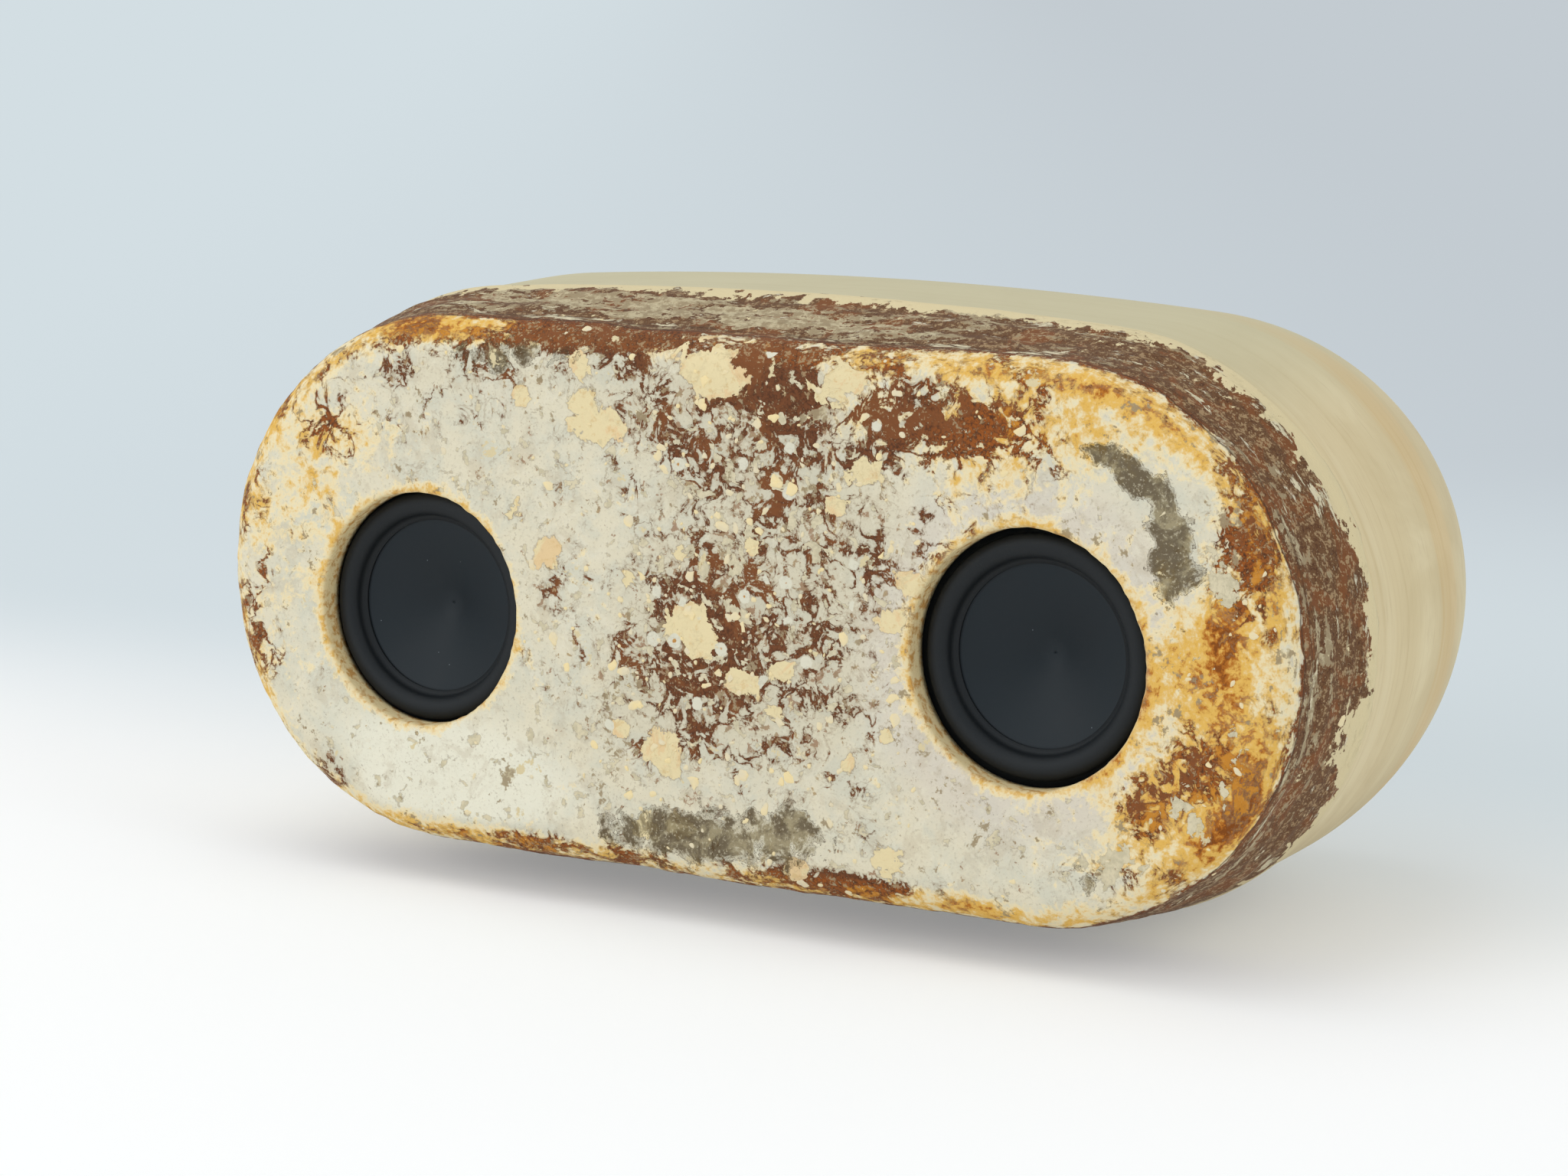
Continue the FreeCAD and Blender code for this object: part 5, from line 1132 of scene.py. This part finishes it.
cone_run = CONE_RADIUS - CONE_RIM_WIDTH
cone_angle = math.atan2(CONE_DEPTH, cone_run)
tip_start = CONE_TIP_ROUND * math.sin(cone_angle)
flank_drop = (cone_run - tip_start) * math.tan(cone_angle)
tip_centre = CONE_RIM_DEPTH + flank_drop - CONE_TIP_ROUND * math.cos(cone_angle)
flank = [
    (cone_run + (tip_start - cone_run) * share, CONE_RIM_DEPTH + flank_drop * share) for share in FLANK_STEPS]
tip = [
    (CONE_TIP_ROUND * math.sin(turn), tip_centre + CONE_TIP_ROUND * math.cos(turn))
    for turn in cone_angle * TIP_STEPS
]
front_side = [(CONE_RADIUS, CONE_RIM_DEPTH), (cone_run, CONE_RIM_DEPTH)] + flank + tip
back_side = [(radius, depth + CONE_THICKNESS) for radius, depth in reversed(front_side)]
cone_profile = front_side + back_side + [front_side[0]]
print("cone profile", len(cone_profile), "points")

# %% Profile of the roll
THROAT_RADIUS = 31.3
ROLL_HEIGHT = 3.2
ROLL_THICKNESS = 0.7
LIP_WIDTH = 1.8
ROLL_STEPS = np.linspace(0.06, math.pi - 0.06, 26)

roll_middle = (THROAT_RADIUS + CONE_RADIUS) / 2
roll_half = (THROAT_RADIUS - CONE_RADIUS) / 2
roll_rise = ROLL_HEIGHT - ROLL_THICKNESS


def roll(reach, base):
    """Half an ellipse over the gap between cone and frame, from the inside out."""
    return [(roll_middle - reach * math.cos(turn), base - roll_rise * math.sin(turn)) for turn in ROLL_STEPS]


over = [(cone_run, CONE_RIM_DEPTH - ROLL_THICKNESS), (CONE_RADIUS - 0.75, CONE_RIM_DEPTH - ROLL_THICKNESS),
        (CONE_RADIUS - 0.1, 0.5 - ROLL_THICKNESS)]
over += roll(roll_half, -ROLL_THICKNESS)
over += [(THROAT_RADIUS + LIP_WIDTH, -ROLL_THICKNESS)]
under = [(THROAT_RADIUS + LIP_WIDTH, 0.0)] + roll(roll_half - ROLL_THICKNESS, 0.0)[::-1]
under += [(CONE_RADIUS, CONE_RIM_DEPTH), (cone_run, CONE_RIM_DEPTH)]
roll_profile = over + under + [over[0]]
print("roll profile", len(roll_profile), "points")

# %% [markdown]
# The cone is pressed paper with a satin coating, nearly black with a blue cast, and it has caught a little
# dust. Dust is drawn as sparse specks: a fine cell pattern of which few cells win the lot that is drawn for
# each, and those show only close to their middles.

# %% Material: coated cone
# The felt of the paper is finer than 0.3 mm, so it is drawn at 0.7 mm to show
HAZE_SIZE, FELT_SIZE, DUST_SPACING = 14 * MM, 0.7 * MM, 2.2 * MM
DUST_LOT, DUST_REACH = 0.93, 0.07

cone_coat, tree, shader, place = new_material("paper_pulp_coated_satin")
from_middle = add(tree, "ShaderNodeTexVoronoi", {"Vector": place, "Scale": 1 / DUST_SPACING}, "Distance")
lot = add(tree, "ShaderNodeSeparateColor", {0: from_middle.node.outputs["Color"]})
lucky = add(tree, "ShaderNodeMath", {0: lot, 1: DUST_LOT}, operation="GREATER_THAN")
close = add(tree, "ShaderNodeMath", {0: from_middle, 1: DUST_REACH}, operation="LESS_THAN")
dust = add(tree, "ShaderNodeMath", {0: lucky, 1: close}, operation="MULTIPLY")
haze = add(tree, "ShaderNodeTexNoise", {"Vector": place, "Scale": 1 / HAZE_SIZE, "Detail": 4.0})
felt = add(tree, "ShaderNodeTexNoise", {"Vector": place, "Scale": 1 / FELT_SIZE, "Detail": 2.0})
colour = linear("#09131a")
for share, tone in ((haze, "#111d24"), (dust, "#5d656b")):
    colour = add(tree, "ShaderNodeMix", {MIX_FACTOR: share, MIX_A: colour, MIX_B: linear(tone)}, MIX_RESULT,
                 data_type="RGBA")
join(tree, shader, {
    "Base Color": colour,
    "Roughness": add(tree, "ShaderNodeMapRange", {"Value": haze, "To Min": 0.50, "To Max": 0.62}),
    "Specular IOR Level": 0.32,
    "Normal": add(tree, "ShaderNodeBump", {"Height": felt, "Strength": 0.12, "Distance": 0.1 * MM}),
})
print("cone material:", len(tree.nodes), "nodes")

# %% [markdown]
# The roll is moulded rubber with a fine matt grain. It and the pieces that keep their CAD shapes share one
# recipe, a base colour that varies with noise of the right size, roughness that follows it and a slight bump,
# because moulded, plated and sleeved parts differ mainly in these numbers.

# %% One recipe for plain finishes


def finish_of(name, first, second, grain_mm, roughness, metallic, relief,
              detail=4.0, spread=0.08, depth_mm=0.1, specular=0.5):
    """A finish from two close colours, their mottling's size, and how rough, metallic and bumpy it is."""
    material, tree, shader, place = new_material(name)
    mottle = add(tree, "ShaderNodeTexNoise", {
        "Vector": place, "Scale": 1 / (grain_mm * MM), "Detail": detail})
    join(tree, shader, {
        "Base Color": add(tree, "ShaderNodeMix", {
            MIX_FACTOR: mottle, MIX_A: linear(first), MIX_B: linear(second)}, MIX_RESULT, data_type="RGBA"),
        "Roughness": add(tree, "ShaderNodeMapRange", {
            "Value": mottle, "To Min": roughness - spread, "To Max": roughness + spread}),
        "Metallic": metallic,
        "Specular IOR Level": specular,
        "Normal": add(tree, "ShaderNodeBump", {
            "Height": mottle, "Strength": relief, "Distance": depth_mm * MM}),
    })
    return material


# Black rubber with the dull grain of its mould, which is drawn at 0.6 mm to show
roll_rubber = finish_of("butyl_rubber_moulded", "#0a0e11", "#171c20", 0.6, 0.59, 0.0, 0.3,
                        detail=2.0, spread=0.09, depth_mm=0.15, specular=0.3)
print("roll material:", len(roll_rubber.node_tree.nodes), "nodes")

# %% Cones and rolls in place
TURN_SEGMENTS = 144
FLANGE_FRONT = 8.5


def turned(name, profile, x, z):
    """Spins a closed radius-depth profile round a driver's axis, which leans with the front."""
    made = Shell()
    made.band([
        leaned(circle(x, z, radius, FLANGE_FRONT + depth, TURN_SEGMENTS)) for radius, depth in profile])
    return made.build(name)


for side, (x, z, _) in OPENINGS.items():
    cone = turned(side + "_coated_cone", cone_profile, x, z)
    cone.data.materials.append(cone_coat)
    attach(cone, side + "_diaphragm")
    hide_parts(side + "_cone")
    rubber = turned(side + "_rubber_roll", roll_profile, x, z)
    rubber.data.materials.append(roll_rubber)
    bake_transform(rubber)
    point_x, _, point_z = unleaned(read(rubber, "co"))
    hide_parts(side + "_surround")
    print(side, "driver:", len(cone.data.polygons) + len(rubber.data.polygons), "faces")

# %% [markdown]
# The other pieces keep their CAD shapes. Most of them are inside, and each still gets the finish of the real
# thing: two close colours, the size of their mottling in millimetres, roughness, metal or not, and relief.

# %% Finishes of the fittings and of the inner pieces
FINISHES = {
    # Dull pale veneer with a warmer sawn edge
    "plywood": ("birch_plywood_sawn", "#c9ad7c", "#a98a58", 2.0, 0.62, 0.0, 0.3),
    # Close pinkish wood, smooth from the lathe
    "post_wood": ("beech_turned", "#c79a66", "#b08253", 1.6, 0.5, 0.0, 0.2),
    # Bright bluish metal with faint clouds
    "zinc_steel": ("steel_zinc_plated", "#b9bcbf", "#9ea2a6", 3.0, 0.32, 1.0, 0.06),
    # Black coat with a fine orange peel
    "black_steel": ("steel_powder_coated_black", "#141519", "#1f2126", 0.8, 0.5, 0.0, 0.25),
    # Glossy green lacquer over a woven ground
    "circuit_board": ("glass_epoxy_solder_masked", "#0f4a28", "#166235", 2.5, 0.35, 0.0, 0.08),
    # Yellow metal with a soft lathe shine
    "brass": ("brass_turned", "#c6a050", "#b08a3c", 2.0, 0.3, 1.0, 0.06),
    # Satin black, nearly even
    "black_aluminium": ("aluminium_anodised_black", "#18191c", "#24262a", 1.2, 0.42, 0.0, 0.1),
    # Tight glossy film, blue-black
    "capacitor_sleeve": ("pet_shrink_sleeve", "#141a2a", "#1c2438", 3.0, 0.28, 0.0, 0.05),
    # Soft grey metal, mirror-like but clouded
    "tinned_can": ("steel_tinned", "#bfc1c0", "#a6a9a9", 2.0, 0.3, 1.0, 0.05),
    # Green moulding with a light mould grain
    "green_plastic": ("polyamide_moulded_green", "#1f6b3f", "#2a7d4b", 1.0, 0.5, 0.0, 0.15),
    # Black moulding with a fine spark-eroded grain
    "black_plastic": ("abs_moulded_black", "#15161a", "#1f2024", 0.5, 0.46, 0.0, 0.22),
    # Tight glossy film, blue
    "cell_sleeve": ("pvc_shrink_sleeve", "#23589c", "#2c66ad", 4.0, 0.26, 0.0, 0.04),
    # Dull black with a dusty grain
    "foot_rubber": ("natural_rubber_moulded", "#16171a", "#212226", 0.7, 0.72, 0.0, 0.3),
    # Soft black skin with a low sheen
    "lead_jacket": ("silicone_jacket_extruded", "#17181b", "#202226", 1.0, 0.5, 0.0, 0.12),
    # Black open cells, quite matt
    "gasket_foam": ("chloroprene_foam_die_cut", "#121315", "#202124", 0.5, 0.9, 0.0, 0.5),
    # Amber film, smooth and glossy
    "former_film": ("polyimide_film_wound", "#a5651f", "#b8772a", 2.0, 0.28, 0.0, 0.05),
    # Reddish metal in fine turns under clear varnish
    "copper": ("copper_wire_enamelled", "#b4683a", "#9c5429", 0.4, 0.34, 1.0, 0.3),
    # Stiff tan weave
    "spider_cloth": ("cotton_cloth_phenolic_dipped", "#b08a4c", "#8f6c36", 0.6, 0.7, 0.0, 0.5),
    # Dark grey stone-like body
    "ferrite": ("ferrite_sintered", "#26272a", "#34353a", 0.6, 0.6, 0.0, 0.2),
    # Brown paper board under a dull resin
    "tag_board": ("phenolic_board_pressed", "#5a3418", "#6d4322", 1.2, 0.5, 0.0, 0.15),
}

finishes = {slot: finish_of(*numbers) for slot, numbers in FINISHES.items()}
finishes.update({
    "mycelium": mycelium, "shell_wood": wood, "cone_pulp": cone_coat, "surround_rubber": roll_rubber})
for row in frame["record"]["subparts"]:
    node = frame["nodes"][row["node"]]
    node.data.materials.clear()
    node.data.materials.append(finishes[row["material_slot"]])
